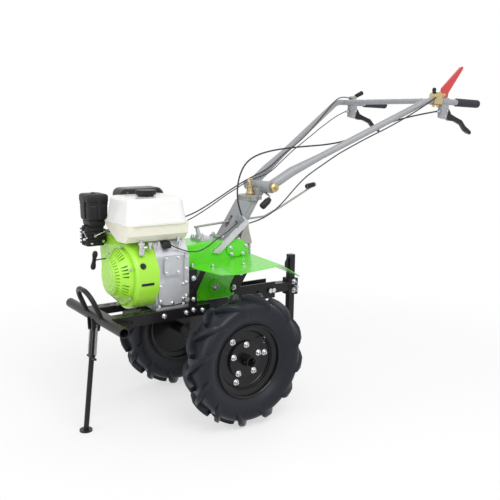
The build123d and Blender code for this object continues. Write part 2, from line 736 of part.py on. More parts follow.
# Uprights: a channel from each rail to the fender, with its diagonal brace.
with BuildPart() as uprights:
    with BuildSketch(floor_plane(RAIL_TOP + SEAT_GAP)):
        with Locations((121, 94)):
            Rectangle(26, 12)
        with Locations((121, 91)):
            Rectangle(19, 12, mode=Mode.SUBTRACT)
    extrude(amount=UPRIGHT_TOP - RAIL_TOP - SEAT_GAP)
    with BuildSketch(side_plane(104)):
        with BuildLine():
            Polyline((112, 460), (134, 460), (90, UPRIGHT_TOP), (68, UPRIGHT_TOP), close=True)
        make_face()
    extrude(amount=4)
    mirror(about=Plane.XZ)
save(uprights, "uprights")

# Fender brackets: an angle each side from the gear case to the back of the fender.
with BuildPart() as fender_brackets:
    with BuildSketch(side_plane(CASE_HALF_WIDTH + 4 + SEAT_GAP)):
        with BuildLine():
            Polyline((-60, 430), (-60, 460), (-120, 552), (-148, 552), (-148, 520), (-90, 430), close=True)
        make_face()
    extrude(amount=4)
    mirror(about=Plane.XZ)
save(fender_brackets, "fender_brackets")

# Hitch: two cheeks on the axle case, a drawbar between them and the sleeve of the depth bar.
hitch_top, hitch_bottom = 436.0, 372.0
bar_x = -392.0
with BuildPart() as hitch:
    for side in (1, -1):
        with BuildSketch(side_plane(side * 30 + 3)):
            with BuildLine():
                Polyline(
                    (neck_rear - SEAT_GAP, hitch_bottom),
                    (neck_rear - SEAT_GAP, CASE_BOTTOM - 5),
                    (-92, CASE_BOTTOM - 2),
                    (-114, hitch_top),
                    (-290, hitch_top),
                    (-290, hitch_bottom),
                    close=True,
                )
            make_face()
        extrude(amount=6)
    with BuildSketch(front_plane(-120)):
        with Locations((0, 404)):
            Rectangle(60, 44)
    extrude(amount=-6)
    with BuildSketch(side_plane(20)):
        with BuildLine():
            Polyline((-250, 384), (-250, 424), (-378, 420), (-378, 388), close=True)
        make_face()
    extrude(amount=40)
    with BuildSketch(side_plane(40)):
        with Locations((HITCH_HOLE_X, 404)):
            Circle(HITCH_HOLE_RADIUS)
    extrude(amount=80, mode=Mode.SUBTRACT)
    for pin_x in (-262, -278):
        with BuildSketch(side_plane(38)):
            with Locations((pin_x, 404)):
                Circle(6)
        extrude(amount=76)
    with BuildSketch(floor_plane(368)):
        with Locations((bar_x, 0)):
            Rectangle(44, 44)
            Rectangle(25 + 2 * SLIP_CLEARANCE, 25 + 2 * SLIP_CLEARANCE, mode=Mode.SUBTRACT)
    extrude(amount=66)
save(hitch, "hitch")

# Depth bar: a square bar through the sleeve, with a shaped head.
with BuildPart() as depth_bar:
    with BuildSketch(floor_plane(150)):
        with Locations((bar_x, 0)):
            Rectangle(25, 25)
    extrude(amount=380)
    with BuildSketch(side_plane(5)):
        with BuildLine():
            Polyline((bar_x + 12, 524), (bar_x + 27, 498), (bar_x + 27, 476), (bar_x + 12, 452), close=True)
        make_face()
    extrude(amount=10)
save(depth_bar, "depth_bar")

# Mast: a leaning channel on the gear case, open behind, that ends in the lower serrated disc.
mast_foot = CASE_TOP + SEAT_GAP
mast_wall = 5.0
mast_rib_rise = 3.0
mast_line = [(-50, mast_foot), (-142, MAST_TOP), (-206, MAST_TOP), (-120, mast_foot)]
mast_rib_line = [(-92, mast_foot), (-104, mast_foot), (-186, MAST_TOP - 16), (-170, MAST_TOP - 16)]
mast_channel_line = [
    (-58, mast_foot - 10), (-148, MAST_TOP - 6), (-240, MAST_TOP - 6), (-150, mast_foot - 10),
]
with BuildPart() as mast:
    with BuildSketch(side_plane(MAST_HALF_WIDTH)):
        with BuildLine():
            Polyline(*mast_line, close=True)
        make_face()
    extrude(amount=2 * MAST_HALF_WIDTH)
    with BuildSketch(side_plane(MAST_HALF_WIDTH + mast_rib_rise)):
        with BuildLine():
            Polyline(*mast_rib_line, close=True)
        make_face()
    extrude(amount=2 * (MAST_HALF_WIDTH + mast_rib_rise))
    with BuildSketch(side_plane(MAST_HALF_WIDTH - mast_wall)):
        with BuildLine():
            Polyline(*mast_channel_line, close=True)
        make_face()
    extrude(amount=2 * (MAST_HALF_WIDTH - mast_wall), mode=Mode.SUBTRACT)
    with BuildSketch(floor_plane(mast_foot)):
        with Locations((-85, 0)):
            Rectangle(104, 84)
        with Locations((-85, 0)):
            with GridLocations(84, 68, 2, 2):
                Circle(4.5, mode=Mode.SUBTRACT)
    extrude(amount=7)
    with BuildSketch(front_plane(-40)):
        with Locations((0, 684)):
            Rectangle(18, 44)
    extrude(amount=-90, mode=Mode.SUBTRACT)
    with BuildSketch(floor_plane(MAST_TOP)):
        with Locations((SWIVEL_X, 0)):
            Circle(SWIVEL_DISC_RADIUS)
            with PolarLocations(SWIVEL_DISC_RADIUS + 1, 36):
                Circle(2.2, mode=Mode.SUBTRACT)
    extrude(amount=9)
    with BuildSketch(floor_plane(MAST_TOP - 8)):
        with Locations((SWIVEL_X, 0)):
            Circle(6 + JOURNAL_CLEARANCE)
    extrude(amount=30, mode=Mode.SUBTRACT)
save(mast, "mast")

# Head: the upper serrated disc and the cross tube that the handlebars tilt on.
head_base = MAST_TOP + 9 + 0.3
with BuildPart() as head:
    with BuildSketch(floor_plane(head_base)):
        with Locations((SWIVEL_X, 0)):
            Circle(SWIVEL_DISC_RADIUS)
            with PolarLocations(SWIVEL_DISC_RADIUS + 1, 36):
                Circle(2.2, mode=Mode.SUBTRACT)
    extrude(amount=9)
    with BuildSketch(side_plane(24)):
        with BuildLine():
            Polyline(
                (SWIVEL_X - 12, head_base + 4),
                (SWIVEL_X - 16, head_base + 26),
                (PIVOT_X, PIVOT_HEIGHT + 16),
                (PIVOT_X - 16, PIVOT_HEIGHT - 10),
                (SWIVEL_X - 38, head_base + 4),
                close=True,
            )
        make_face()
    extrude(amount=48)
    with BuildSketch(side_plane(40)):
        with Locations((PIVOT_X, PIVOT_HEIGHT)):
            Circle(21)
    extrude(amount=80)
    with BuildSketch(floor_plane(head_base - 1)):
        with Locations((SWIVEL_X, 0)):
            Circle(6.2)
    extrude(amount=60, mode=Mode.SUBTRACT)
    with BuildSketch(side_plane(60)):
        with Locations((PIVOT_X, PIVOT_HEIGHT)):
            Circle(8)
    extrude(amount=120, mode=Mode.SUBTRACT)
save(head, "head")

# Swivel bolt: it clamps the two discs together.
with BuildPart() as swivel_bolt:
    with BuildSketch(floor_plane(MAST_TOP - 2)):
        with Locations((SWIVEL_X, 0)):
            Circle(6)
    extrude(amount=70)
    with BuildSketch(floor_plane(head_base + 9 + SEAT_GAP)):
        with Locations((SWIVEL_X, 0)):
            Circle(10)
    extrude(amount=30)
    with BuildSketch(floor_plane(MAST_TOP + 66)):
        with Locations((SWIVEL_X, 0)):
            RegularPolygon(11, 6)
    extrude(amount=9)
save(swivel_bolt, "swivel_bolt")

# Pivot bolt: it clamps the handlebars to the head's cross tube, with a lever on the left.
with BuildPart() as pivot_bolt:
    with BuildSketch(side_plane(92)):
        with Locations((PIVOT_X, PIVOT_HEIGHT)):
            Circle(8 - JOURNAL_CLEARANCE)
    extrude(amount=184)
    with BuildSketch(side_plane(92)):
        with Locations((PIVOT_X, PIVOT_HEIGHT)):
            Circle(14)
    extrude(amount=10)
    with BuildSketch(side_plane(-84)):
        with Locations((PIVOT_X, PIVOT_HEIGHT)):
            RegularPolygon(14, 6)
    extrude(amount=10)
save(pivot_bolt, "pivot_bolt")

# Handlebar tubes: a stout tapered root at the pivot, a long rising run and a level grip run.
knee = Vector(-322, 80, 868)
root = Vector(PIVOT_X, HANDLE_BASE_Y, PIVOT_HEIGHT)
bend = Vector(HANDLE_BEND_X, HANDLE_SPREAD, HANDLE_BEND_HEIGHT)
taper_end = knee + (bend - knee).normalized() * 130
with BuildPart() as handle:
    for start, end, r1, r2 in ((root, knee, 19, 18), (knee, taper_end, 18, HANDLE_TUBE_RADIUS)):
        run = end - start
        with BuildSketch(Plane(origin=at(*start), z_dir=run)):
            Circle(r1)
        with BuildSketch(Plane(origin=at(*end), z_dir=run)):
            Circle(r2)
        loft()
    with Locations(at(*knee)):
        Sphere(18)
    with BuildSketch(side_plane(HANDLE_BASE_Y + 18)):
        with Locations((PIVOT_X, PIVOT_HEIGHT)):
            Circle(22)
    extrude(amount=36 - 2)
    with BuildLine() as tube_line:
        FilletPolyline(
            at(*taper_end), at(*bend), at(-GRIP_REACH + 10, HANDLE_SPREAD, GRIP_HEIGHT), radius=110
        )
    with BuildSketch(Plane(origin=tube_line.line @ 0, z_dir=tube_line.line % 0)):
        Circle(HANDLE_TUBE_RADIUS)
    sweep(path=tube_line.line)
    with BuildSketch(side_plane(HANDLE_BASE_Y + 60)):
        with Locations((PIVOT_X, PIVOT_HEIGHT)):
            Circle(8.3)
    extrude(amount=120, mode=Mode.SUBTRACT)
save_pair(handle, "handle")

# Cross bar: it ties the two tubes together just behind their bends.
bar_reach = HANDLE_SPREAD - HANDLE_TUBE_RADIUS - 0.1
with BuildPart() as handle_bar:
    with BuildSketch(Plane(origin=grip_point(CROSS_BAR_X, 0) - Vector(0, bar_reach, 0), z_dir=(0, 1, 0))):
        Circle(11)
    extrude(amount=2 * bar_reach)
save(handle_bar, "handle_bar")

# Grips: a rubber sleeve on each tube end.
with BuildPart() as grips:
    for side in (1, -1):
        with BuildSketch(Plane(origin=grip_point(-GRIP_START, side), z_dir=(-1, 0, 0))):
            Circle(GRIP_RADIUS)
        extrude(amount=GRIP_REACH - GRIP_START)
    add(handle.part, mode=Mode.SUBTRACT)
    add(handle.part.mirror(Plane.XZ), mode=Mode.SUBTRACT)
save(grips, "grips")

# Hand levers: a bracket clamped under each tube and a lever that reaches back below the grip.
grip_front = -GRIP_START
with BuildPart() as hand_levers:
    for side in (1, -1):
        y = side * HANDLE_SPREAD
        with BuildSketch(side_plane(y + 9)):
            with BuildLine():
                Polyline(
                    (grip_front + 97, 1125), (grip_front + 52, 1124), (grip_front + 52, 1096),
                    (grip_front + 77, 1088), close=True,
                )
            make_face()
        extrude(amount=18)
        with BuildSketch(side_plane(y + 4)):
            with BuildLine():
                Polyline(
                    (grip_front + 74, 1106), (grip_front - 38, 1070), (grip_front - 96, 1022),
                    (grip_front - 108, 1006), (grip_front - 120, 1014), (grip_front - 102, 1034),
                    (grip_front - 44, 1086), (grip_front + 70, 1120), close=True,
                )
            make_face()
        extrude(amount=8)
        adjuster = at(-ADJUSTER_REACH, y, ADJUSTER_HEIGHT)
        with BuildSketch(Plane(origin=adjuster, z_dir=(-1, 0, 0.12))):
            Circle(4.5)
        extrude(amount=34)
    add(handle.part, mode=Mode.SUBTRACT)
    add(handle.part.mirror(Plane.XZ), mode=Mode.SUBTRACT)
save(hand_levers, "hand_levers")

# Turn lever: a long flat lever in a plated clamp on the left-hand tube.
with BuildPart() as turn_lever:
    with BuildSketch(grip_plane(grip_front + 119, 1)):
        with Locations((0, 10)):
            Rectangle(38, 52)
        Circle(HANDLE_TUBE_RADIUS + SEAT_GAP, mode=Mode.SUBTRACT)
    extrude(amount=38)
    with BuildSketch(side_plane(HANDLE_SPREAD + 3)):
        with BuildLine():
            Polyline(
                (grip_front + 107, 1172), (grip_front + 88, 1160), (grip_front - 40, 1272),
                (grip_front - 30, 1282), close=True,
            )
        make_face()
    extrude(amount=6)
save(turn_lever, "turn_lever")

# Throttle: a thumb lever in a clamp on the right-hand tube.
with BuildPart() as throttle:
    with BuildSketch(grip_plane(grip_front + 87, -1)):
        with Locations((0, 6)):
            Circle(22)
        Circle(HANDLE_TUBE_RADIUS + SEAT_GAP, mode=Mode.SUBTRACT)
    extrude(amount=22)
    with BuildSketch(side_plane(-HANDLE_SPREAD + 5)):
        with BuildLine():
            Polyline(
                (grip_front + 84, 1164), (grip_front + 70, 1162), (grip_front + 22, 1190),
                (grip_front + 30, 1198), close=True,
            )
        make_face()
    extrude(amount=10)
save(throttle, "throttle")

# Clutch arm: a pressed lever on the left of the gear case that the clutch cable pulls.
with BuildPart() as clutch_arm:
    with BuildSketch(side_plane(CASE_HALF_WIDTH + 10)):
        with BuildLine():
            Polyline((24, 588), (4, 604), (-124, 700), (-134, 684), (-6, 582), close=True)
        make_face()
    extrude(amount=8)
    with BuildSketch(side_plane(CASE_HALF_WIDTH + 10)):
        with Locations((8, 593)):
            Circle(9)
    extrude(amount=10 - SEAT_GAP)
    with BuildSketch(Plane(origin=at(-124, 67, 688), z_dir=(13, -7, 22))):
        Circle(4.2)
    extrude(amount=25)
save(clutch_arm, "clutch_arm")

# Gear lever: a rod from the selector, through the mast, back and up to its knob.
with BuildPart() as gear_lever:
    with BuildLine() as rod_line:
        FilletPolyline(
            at(58, 0, 674), at(-60, 0, 682), at(-255, 0, 692), at(-330, 0, 722), at(-566, 0, 832),
            at(-569, 0, 817), at(-506, 0, 806), radius=[40, 40, 40, 7, 7],
        )
    with BuildSketch(Plane(origin=rod_line.line @ 0, z_dir=rod_line.line % 0)):
        Circle(4)
    sweep(path=rod_line.line)
    with BuildSketch(Plane(origin=rod_line.line @ 1, z_dir=rod_line.line % 1)):
        Circle(9)
    extrude(amount=44)
save(gear_lever, "gear_lever")

# Clamp lever: a rod under the head's cross tube with a ribbed knob, which frees the swivel.
with BuildPart() as clamp_lever:
    rod_top = at(PIVOT_X - 2, 32, PIVOT_HEIGHT - 21.6)
    rod_foot = at(PIVOT_X - 2, 34, 762)
    with BuildLine() as clamp_line:
        Line(rod_top, rod_foot)
    with BuildSketch(Plane(origin=rod_top, z_dir=rod_foot - rod_top)):
        Circle(4)
    sweep(path=clamp_line.line)
    with BuildSketch(Plane(origin=rod_foot, x_dir=(0, 1, 0), z_dir=(-0.45, 0.1, -1))):
        Circle(11)
    with BuildSketch(Plane(origin=at(PIVOT_X - 18, 38, 728), x_dir=(0, 1, 0), z_dir=(-0.45, 0.1, -1))):
        Circle(14)
    loft()
save(clamp_lever, "clamp_lever")

# Shift bracket: a strap on the back of the gear case that holds the turn cable over its spring stack.
with BuildPart() as shift_bracket:
    with BuildSketch(side_plane(52)):
        with BuildLine():
            Polyline(
                (CASE_REAR + 34, 622.3), (CASE_REAR - 0.4, 604.5), (CASE_REAR - 18, 604.5),
                (CASE_REAR - 18, 612), (CASE_REAR - 4, 660), (CASE_REAR - 2, 686),
                (CASE_REAR + 14, 686), (CASE_REAR + 20, 660), close=True,
            )
        make_face()
    extrude(amount=4)
    with BuildSketch(front_plane(-144)):
        with Locations((50, 678)):
            Circle(5)
    extrude(amount=18)
    stack_x = CASE_REAR - 11
    with BuildSketch(floor_plane(540)):
        with Locations((stack_x, 44)):
            Circle(4)
    extrude(amount=76)
    for collar, radius, depth in ((540, 10, 8), (556, 7, 24), (584, 7, 14), (602, 10, 6)):
        with BuildSketch(floor_plane(collar)):
            with Locations((stack_x, 44)):
                Circle(radius)
        extrude(amount=depth)
save(shift_bracket, "shift_bracket")

# Fuel tap: a small bowl and outlet under the tank on the left.
with BuildPart() as fuel_tap:
    with BuildSketch(floor_plane(628)):
        with Locations((316, 92)):
            Circle(8)
    extrude(amount=18)
    with BuildSketch(floor_plane(646)):
        with Locations((316, 92)):
            Circle(11)
    extrude(amount=8)
    with BuildSketch(floor_plane(654)):
        with Locations((316, 90)):
            Circle(4)
    extrude(amount=7)
save(fuel_tap, "fuel_tap")

# Oil sensor box: a moulded block on the shoulder of the crankcase that the engine wire leaves.
sensor_rear = 208.0
with BuildPart() as oil_sensor:
    with BuildSketch(front_plane(sensor_rear)):
        with BuildLine():
            Polyline((75.8, 626.6), (61.8, 649), (88, 649), (98, 640), (98, 626.6), close=True)
        make_face()
    extrude(amount=24)
save(oil_sensor, "oil_sensor")


def cable(route, radius, name):
    """A closed tube along straight runs, with the largest arc that each corner allows."""
    points = [at(*point) for point in route]
    bends = []
    for before, corner, after in zip(points, points[1:], points[2:]):
        turn = radians((corner - before).get_angle(after - corner))
        run = min((corner - before).length, (after - corner).length)
        bends.append(0.45 * run / tan(turn / 2))
    with BuildPart() as made:
        with BuildLine() as path:
            FilletPolyline(*points, radius=bends)
        with BuildSketch(Plane(origin=path.line @ 0, z_dir=path.line % 0)):
            Circle(radius)
        sweep(path=path.line)
    length = sum(edge.length for edge in path.edges())
    print(f"{name}: {length:.0f} mm long, radii {[round(bend) for bend in bends]}")
    print(f"{name}: volume over section times length {made.part.volume / (pi * radius**2 * length):.4f}")
    save(made, name)


# Clutch cable: from the left hand lever, inside the tube, over the head and down to the arm.
clutch_route = [
    (-904, 263, 1101), (-868, 262, 1096), (-800, 243, 1083), (-735, 208, 1064), (-668, 181, 1037),
    (-600, 156, 1006), (-530, 132, 980), (-458, 112, 968), (-384, 96, 963), (-310, 80, 957),
    (-241, 64, 948), (-178, 52, 932), (-134, 47, 906), (-108, 47, 866), (-94, 50, 822),
    (-92, 53, 778), (-98, 56, 742), (-108.5, 59, 713),
]
cable(clutch_route, 3, "clutch_cable")

# Turn cable: from the red lever's clamp, under the left tube, then down to the shift bracket.
reverse_route = [
    (-902.5, 274, 1164), (-874, 281, 1154), (-832, 276, 1128), (-788, 258, 1098), (-735, 231, 1062),
    (-675, 206, 1028), (-615, 185, 999), (-555, 165, 967), (-500, 144, 936), (-456, 126, 904),
    (-416, 111, 876), (-370, 100, 845), (-326, 92, 803), (-284, 85, 758), (-240, 78, 720),
    (-199, 68, 697), (-168, 57, 685), (-146, 50, 679),
]
cable(reverse_route, 2.5, "reverse_cable")

# Throttle cable: from the right-hand clamp, inside the tube, over the head and under the tank.
throttle_route = [
    (-934.5, -263, 1161), (-903, -262, 1167), (-845, -250, 1161), (-790, -228, 1131), (-732, -205, 1095),
    (-676, -183, 1058), (-620, -162, 1023), (-562, -141, 991), (-505, -119, 964), (-448, -98, 941),
    (-392, -78, 916), (-338, -58, 888), (-284, -44, 863), (-232, -40, 846), (-182, -42, 825),
    (-130, -41, 800), (-78, -40, 773), (-26, -40, 747), (24, -43, 722), (72, -53, 704),
    (120, -70, 691), (176, -84, 682), (236, -87, 678), (290, -96, 676), (328, -110, 673), (354.9, -122, 669),
]
cable(throttle_route, 2.5, "throttle_cable")

# Stop cable: from the right hand lever, beside the throttle cable, to the carburettor.
stop_route = [
    (-904, -263, 1101), (-866, -259, 1089), (-812, -247, 1068), (-760, -230, 1046), (-708, -211, 1026),
    (-656, -191, 1003), (-604, -170, 983), (-552, -149, 961), (-500, -127, 942), (-450, -105, 919),
    (-400, -85, 896), (-350, -66, 869), (-300, -49, 849), (-250, -38, 841), (-198, -35, 828),
    (-147, -34, 802), (-96, -35, 777), (-45, -34, 748), (4, -37, 721), (50, -43, 697),
    (94, -54, 681), (140, -66, 670), (190, -75, 666), (240, -80, 665), (288, -88, 667), (330, -103, 667),
    (355.1, -115, 664),
]
cable(stop_route, 2, "stop_cable")

# Engine wire: from the oil sensor box, across the side of the gear case and up into the mast.
wire_route = [
    (sensor_rear - 0.6, 91, 636), (180, 95, 622), (140, 95, 607), (100, 92, 602), (60, 87, 613),
    (18, 82, 636), (-26, 80, 657), (-60, 67, 672), (-88, 55, 682), (-101, 43, 687), (-103, 30.4, 688),
]
cable(wire_route, 2, "engine_wire")
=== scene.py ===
from math import cos, pi, radians, sin

import bmesh
import bpy
from mathutils import Matrix, Vector


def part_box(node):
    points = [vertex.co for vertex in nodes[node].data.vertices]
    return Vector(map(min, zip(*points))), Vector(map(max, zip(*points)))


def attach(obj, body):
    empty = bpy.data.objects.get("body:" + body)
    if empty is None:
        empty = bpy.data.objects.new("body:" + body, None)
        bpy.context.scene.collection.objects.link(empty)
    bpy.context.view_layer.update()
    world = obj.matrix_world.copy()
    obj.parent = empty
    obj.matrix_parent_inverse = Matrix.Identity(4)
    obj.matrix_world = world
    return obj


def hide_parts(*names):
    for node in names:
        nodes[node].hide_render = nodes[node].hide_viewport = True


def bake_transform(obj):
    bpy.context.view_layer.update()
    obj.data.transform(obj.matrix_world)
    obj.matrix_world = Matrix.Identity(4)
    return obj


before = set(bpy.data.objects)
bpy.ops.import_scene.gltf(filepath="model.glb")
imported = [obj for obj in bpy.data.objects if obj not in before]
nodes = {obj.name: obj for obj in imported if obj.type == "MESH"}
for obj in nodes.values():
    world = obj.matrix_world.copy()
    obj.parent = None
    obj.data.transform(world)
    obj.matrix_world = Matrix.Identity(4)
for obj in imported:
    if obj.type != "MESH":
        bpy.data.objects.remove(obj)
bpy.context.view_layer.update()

# Camera: it stands to the front left of the machine, a little above its handlebars, where the
# photograph was taken from. It is a plain 50 mm lens on a 36 mm frame, with no shift.
camera_data = bpy.data.cameras.new("camera")
camera_data.sensor_width = 36.0
camera_data.lens = 50.48
camera = bpy.data.objects.new("camera", camera_data)
bpy.context.scene.collection.objects.link(camera)
bpy.context.scene.camera = camera
camera_bearing, camera_lift, camera_roll = radians(144.49), radians(10.53), radians(0.82)
camera_distance = 2.695
camera_target = Vector((0.134, 0.0, 0.566))
camera_back = Vector((
    sin(camera_bearing) * cos(camera_lift), -cos(camera_bearing) * cos(camera_lift), sin(camera_lift)
))
camera.location = camera_target + camera_distance * camera_back
camera.rotation_euler = (
    camera_back.to_track_quat("Z", "Y").to_matrix() @ Matrix.Rotation(camera_roll, 3, "Z")
).to_euler()

# Floor and light: a pale studio floor under a white surround, lit by one large soft lamp high on
# the left and weaker ones in front and behind. The camera and reflections see plain white around.
bpy.context.scene.view_settings.view_transform = "Standard"
world = bpy.data.worlds.new("studio")
bpy.context.scene.world = world
world.use_nodes = True
tree = world.node_tree
tree.nodes.clear()
world_out = tree.nodes.new("ShaderNodeOutputWorld")
ambient = tree.nodes.new("ShaderNodeBackground")
ambient.inputs["Color"].default_value = (1.0, 1.0, 1.0, 1.0)
ambient.inputs["Strength"].default_value = 0.62
backdrop = tree.nodes.new("ShaderNodeBackground")
backdrop.inputs["Color"].default_value = (1.0, 1.0, 1.0, 1.0)
backdrop.inputs["Strength"].default_value = 1.0
ray = tree.nodes.new("ShaderNodeLightPath")
seen = tree.nodes.new("ShaderNodeMath")
seen.operation = "MAXIMUM"
seen_through = tree.nodes.new("ShaderNodeMath")
seen_through.operation = "MAXIMUM"
choose = tree.nodes.new("ShaderNodeMixShader")
tree.links.new(ray.outputs["Is Camera Ray"], seen.inputs[0])
tree.links.new(ray.outputs["Is Glossy Ray"], seen.inputs[1])
tree.links.new(seen.outputs[0], seen_through.inputs[0])
tree.links.new(ray.outputs["Is Transmission Ray"], seen_through.inputs[1])
tree.links.new(seen_through.outputs[0], choose.inputs[0])
tree.links.new(ambient.outputs[0], choose.inputs[1])
tree.links.new(backdrop.outputs[0], choose.inputs[2])
tree.links.new(choose.outputs[0], world_out.inputs["Surface"])

for lamp_name, lamp_place, lamp_size, lamp_power in (
    ("lamp_high", (0.9, 2.4, 3.0), 2.4, 66.0),
    ("lamp_front", (3.0, 0.2, 1.5), 1.8, 16.0),
    ("lamp_behind", (-2.6, -1.6, 2.2), 1.6, 16.0),
):
    lamp_data = bpy.data.lights.new(lamp_name, "AREA")
    lamp_data.shape = "DISK"
    lamp_data.size = lamp_size
    lamp_data.energy = lamp_power
    lamp = bpy.data.objects.new(lamp_name, lamp_data)
    bpy.context.scene.collection.objects.link(lamp)
    lamp.location = lamp_place
    lamp.rotation_euler = (Vector(lamp_place) - Vector((0, 0, 0.5))).to_track_quat("Z", "Y").to_euler()

floor_mesh = bmesh.new()
bmesh.ops.create_grid(floor_mesh, x_segments=1, y_segments=1, size=14.0)
floor_data = bpy.data.meshes.new("floor")
floor_mesh.to_mesh(floor_data)
floor_mesh.free()
floor = bpy.data.objects.new("floor", floor_data)
bpy.context.scene.collection.objects.link(floor)
floor_paint = bpy.data.materials.new("floor_paper")
floor_paint.use_nodes = True
tree = floor_paint.node_tree
paper = tree.nodes["Principled BSDF"]
paper.inputs["Base Color"].default_value = (0.93, 0.93, 0.93, 1.0)
paper.inputs["Roughness"].default_value = 0.95
paper.inputs["Specular IOR Level"].default_value = 0.1
fibre = tree.nodes.new("ShaderNodeTexNoise")
fibre.inputs["Scale"].default_value = 60.0
fibre_bump = tree.nodes.new("ShaderNodeBump")
fibre_bump.inputs["Strength"].default_value = 0.02
tree.links.new(fibre.outputs["Fac"], fibre_bump.inputs["Height"])
tree.links.new(fibre_bump.outputs["Normal"], paper.inputs["Normal"])
# The camera sees the floor run out to the same plain white as the surround, further from the
# machine, while the floor near it keeps its shadow.
floor_place = tree.nodes.new("ShaderNodeTexCoord")
floor_reach = tree.nodes.new("ShaderNodeVectorMath")
floor_reach.operation = "LENGTH"
floor_fade = tree.nodes.new("ShaderNodeMapRange")
floor_fade.interpolation_type = "SMOOTHSTEP"
floor_fade.inputs["From Min"].default_value = 0.7
floor_fade.inputs["From Max"].default_value = 2.0
floor_fade.inputs["To Min"].default_value = 0.60
floor_ray = tree.nodes.new("ShaderNodeLightPath")
floor_seen = tree.nodes.new("ShaderNodeMath")
floor_seen.operation = "MAXIMUM"
floor_share = tree.nodes.new("ShaderNodeMath")
floor_share.operation = "MULTIPLY"
floor_white = tree.nodes.new("ShaderNodeEmission")
floor_white.inputs["Strength"].default_value = 1.0
floor_mix = tree.nodes.new("ShaderNodeMixShader")
tree.links.new(floor_place.outputs["Object"], floor_reach.inputs[0])
tree.links.new(floor_reach.outputs["Value"], floor_fade.inputs["Value"])
tree.links.new(floor_ray.outputs["Is Camera Ray"], floor_seen.inputs[0])
tree.links.new(floor_ray.outputs["Is Glossy Ray"], floor_seen.inputs[1])
tree.links.new(floor_seen.outputs[0], floor_share.inputs[0])
tree.links.new(floor_fade.outputs["Result"], floor_share.inputs[1])
tree.links.new(floor_share.outputs[0], floor_mix.inputs[0])
tree.links.new(paper.outputs[0], floor_mix.inputs[1])
tree.links.new(floor_white.outputs[0], floor_mix.inputs[2])
tree.links.new(floor_mix.outputs[0], tree.nodes["Material Output"].inputs["Surface"])
floor_data.materials.append(floor_paint)

# Tyres: two lugged rubber tyres on the rims. Each is a carcass turned from its section, with
# chevron lugs that run from the middle of the crown over the shoulder, as they are moulded.


def wear_and_highlight_masks():
    """A shader node group that gives the masks of every finish: its wear, and the painted highlight some
    finishes lay on their edges.
    """
    group = bpy.data.node_groups.new("wear_and_highlight_masks", "ShaderNodeTree")
    for label, value in (("Mottle Scale", 9.0), ("Grain Scale", 400.0), ("Edge Radius", 0.002)):
        socket = group.interface.new_socket(label, in_out="INPUT", socket_type="NodeSocketFloat")
        socket.default_value = value
    for label in ("Mottle", "Grain", "Scratches", "Edges", "Dust"):
        group.interface.new_socket(label, in_out="OUTPUT", socket_type="NodeSocketFloat")
    given = group.nodes.new("NodeGroupInput")
    result = group.nodes.new("NodeGroupOutput")
    place = group.nodes.new("ShaderNodeTexCoord")

    mottle = group.nodes.new("ShaderNodeTexNoise")
    mottle.inputs["Detail"].default_value = 5.0
    group.links.new(place.outputs["Object"], mottle.inputs["Vector"])
    group.links.new(given.outputs["Mottle Scale"], mottle.inputs["Scale"])
    group.links.new(mottle.outputs["Fac"], result.inputs["Mottle"])

    grain = group.nodes.new("ShaderNodeTexNoise")
    grain.inputs["Detail"].default_value = 3.0
    group.links.new(place.outputs["Object"], grain.inputs["Vector"])
    group.links.new(given.outputs["Grain Scale"], grain.inputs["Scale"])
    group.links.new(grain.outputs["Fac"], result.inputs["Grain"])

    stretch = group.nodes.new("ShaderNodeMapping")
    stretch.inputs["Rotation"].default_value = (0.4, 0.9, 0.3)
    stretch.inputs["Scale"].default_value = (260.0, 22.0, 18.0)
    scratch = group.nodes.new("ShaderNodeTexNoise")
    scratch.inputs["Scale"].default_value = 1.0
    scratch.inputs["Detail"].default_value = 2.0
    thin = group.nodes.new("ShaderNodeMapRange")
    thin.inputs["From Min"].default_value = 0.66
    thin.inputs["From Max"].default_value = 0.74
    group.links.new(place.outputs["Object"], stretch.inputs["Vector"])
    group.links.new(stretch.outputs["Vector"], scratch.inputs["Vector"])
    group.links.new(scratch.outputs["Fac"], thin.inputs["Value"])
    group.links.new(thin.outputs["Result"], result.inputs["Scratches"])

    # Sharp edges, where the bevelled normal leaves the true one: worn paint on most finishes, a painted
    # highlight on the green, red and tyre finishes.
    shape = group.nodes.new("ShaderNodeNewGeometry")
    rounded = group.nodes.new("ShaderNodeBevel")
    rounded.samples = 4
    alike = group.nodes.new("ShaderNodeVectorMath")
    alike.operation = "DOT_PRODUCT"
    sharp = group.nodes.new("ShaderNodeMapRange")
    sharp.inputs["From Min"].default_value = 0.985
    sharp.inputs["From Max"].default_value = 0.90
    edge_wear_and_highlight = group.nodes.new("ShaderNodeMath")
    edge_wear_and_highlight.operation = "MULTIPLY"
    group.links.new(given.outputs["Edge Radius"], rounded.inputs["Radius"])
    group.links.new(rounded.outputs["Normal"], alike.inputs[0])
    group.links.new(shape.outputs["Normal"], alike.inputs[1])
    group.links.new(alike.outputs["Value"], sharp.inputs["Value"])
    group.links.new(sharp.outputs["Result"], edge_wear_and_highlight.inputs[0])
    group.links.new(mottle.outputs["Fac"], edge_wear_and_highlight.inputs[1])
    group.links.new(edge_wear_and_highlight.outputs[0], result.inputs["Edges"])

    facing = group.nodes.new("ShaderNodeSeparateXYZ")
    upward = group.nodes.new("ShaderNodeMapRange")
    upward.inputs["From Min"].default_value = 0.2
    upward.inputs["From Max"].default_value = 1.0
    settled = group.nodes.new("ShaderNodeMath")
    settled.operation = "MULTIPLY"
    group.links.new(shape.outputs["Normal"], facing.inputs[0])
    group.links.new(facing.outputs["Z"], upward.inputs["Value"])
    group.links.new(upward.outputs["Result"], settled.inputs[0])
    group.links.new(mottle.outputs["Fac"], settled.inputs[1])
    group.links.new(settled.outputs[0], result.inputs["Dust"])
    return group


masks = wear_and_highlight_masks()


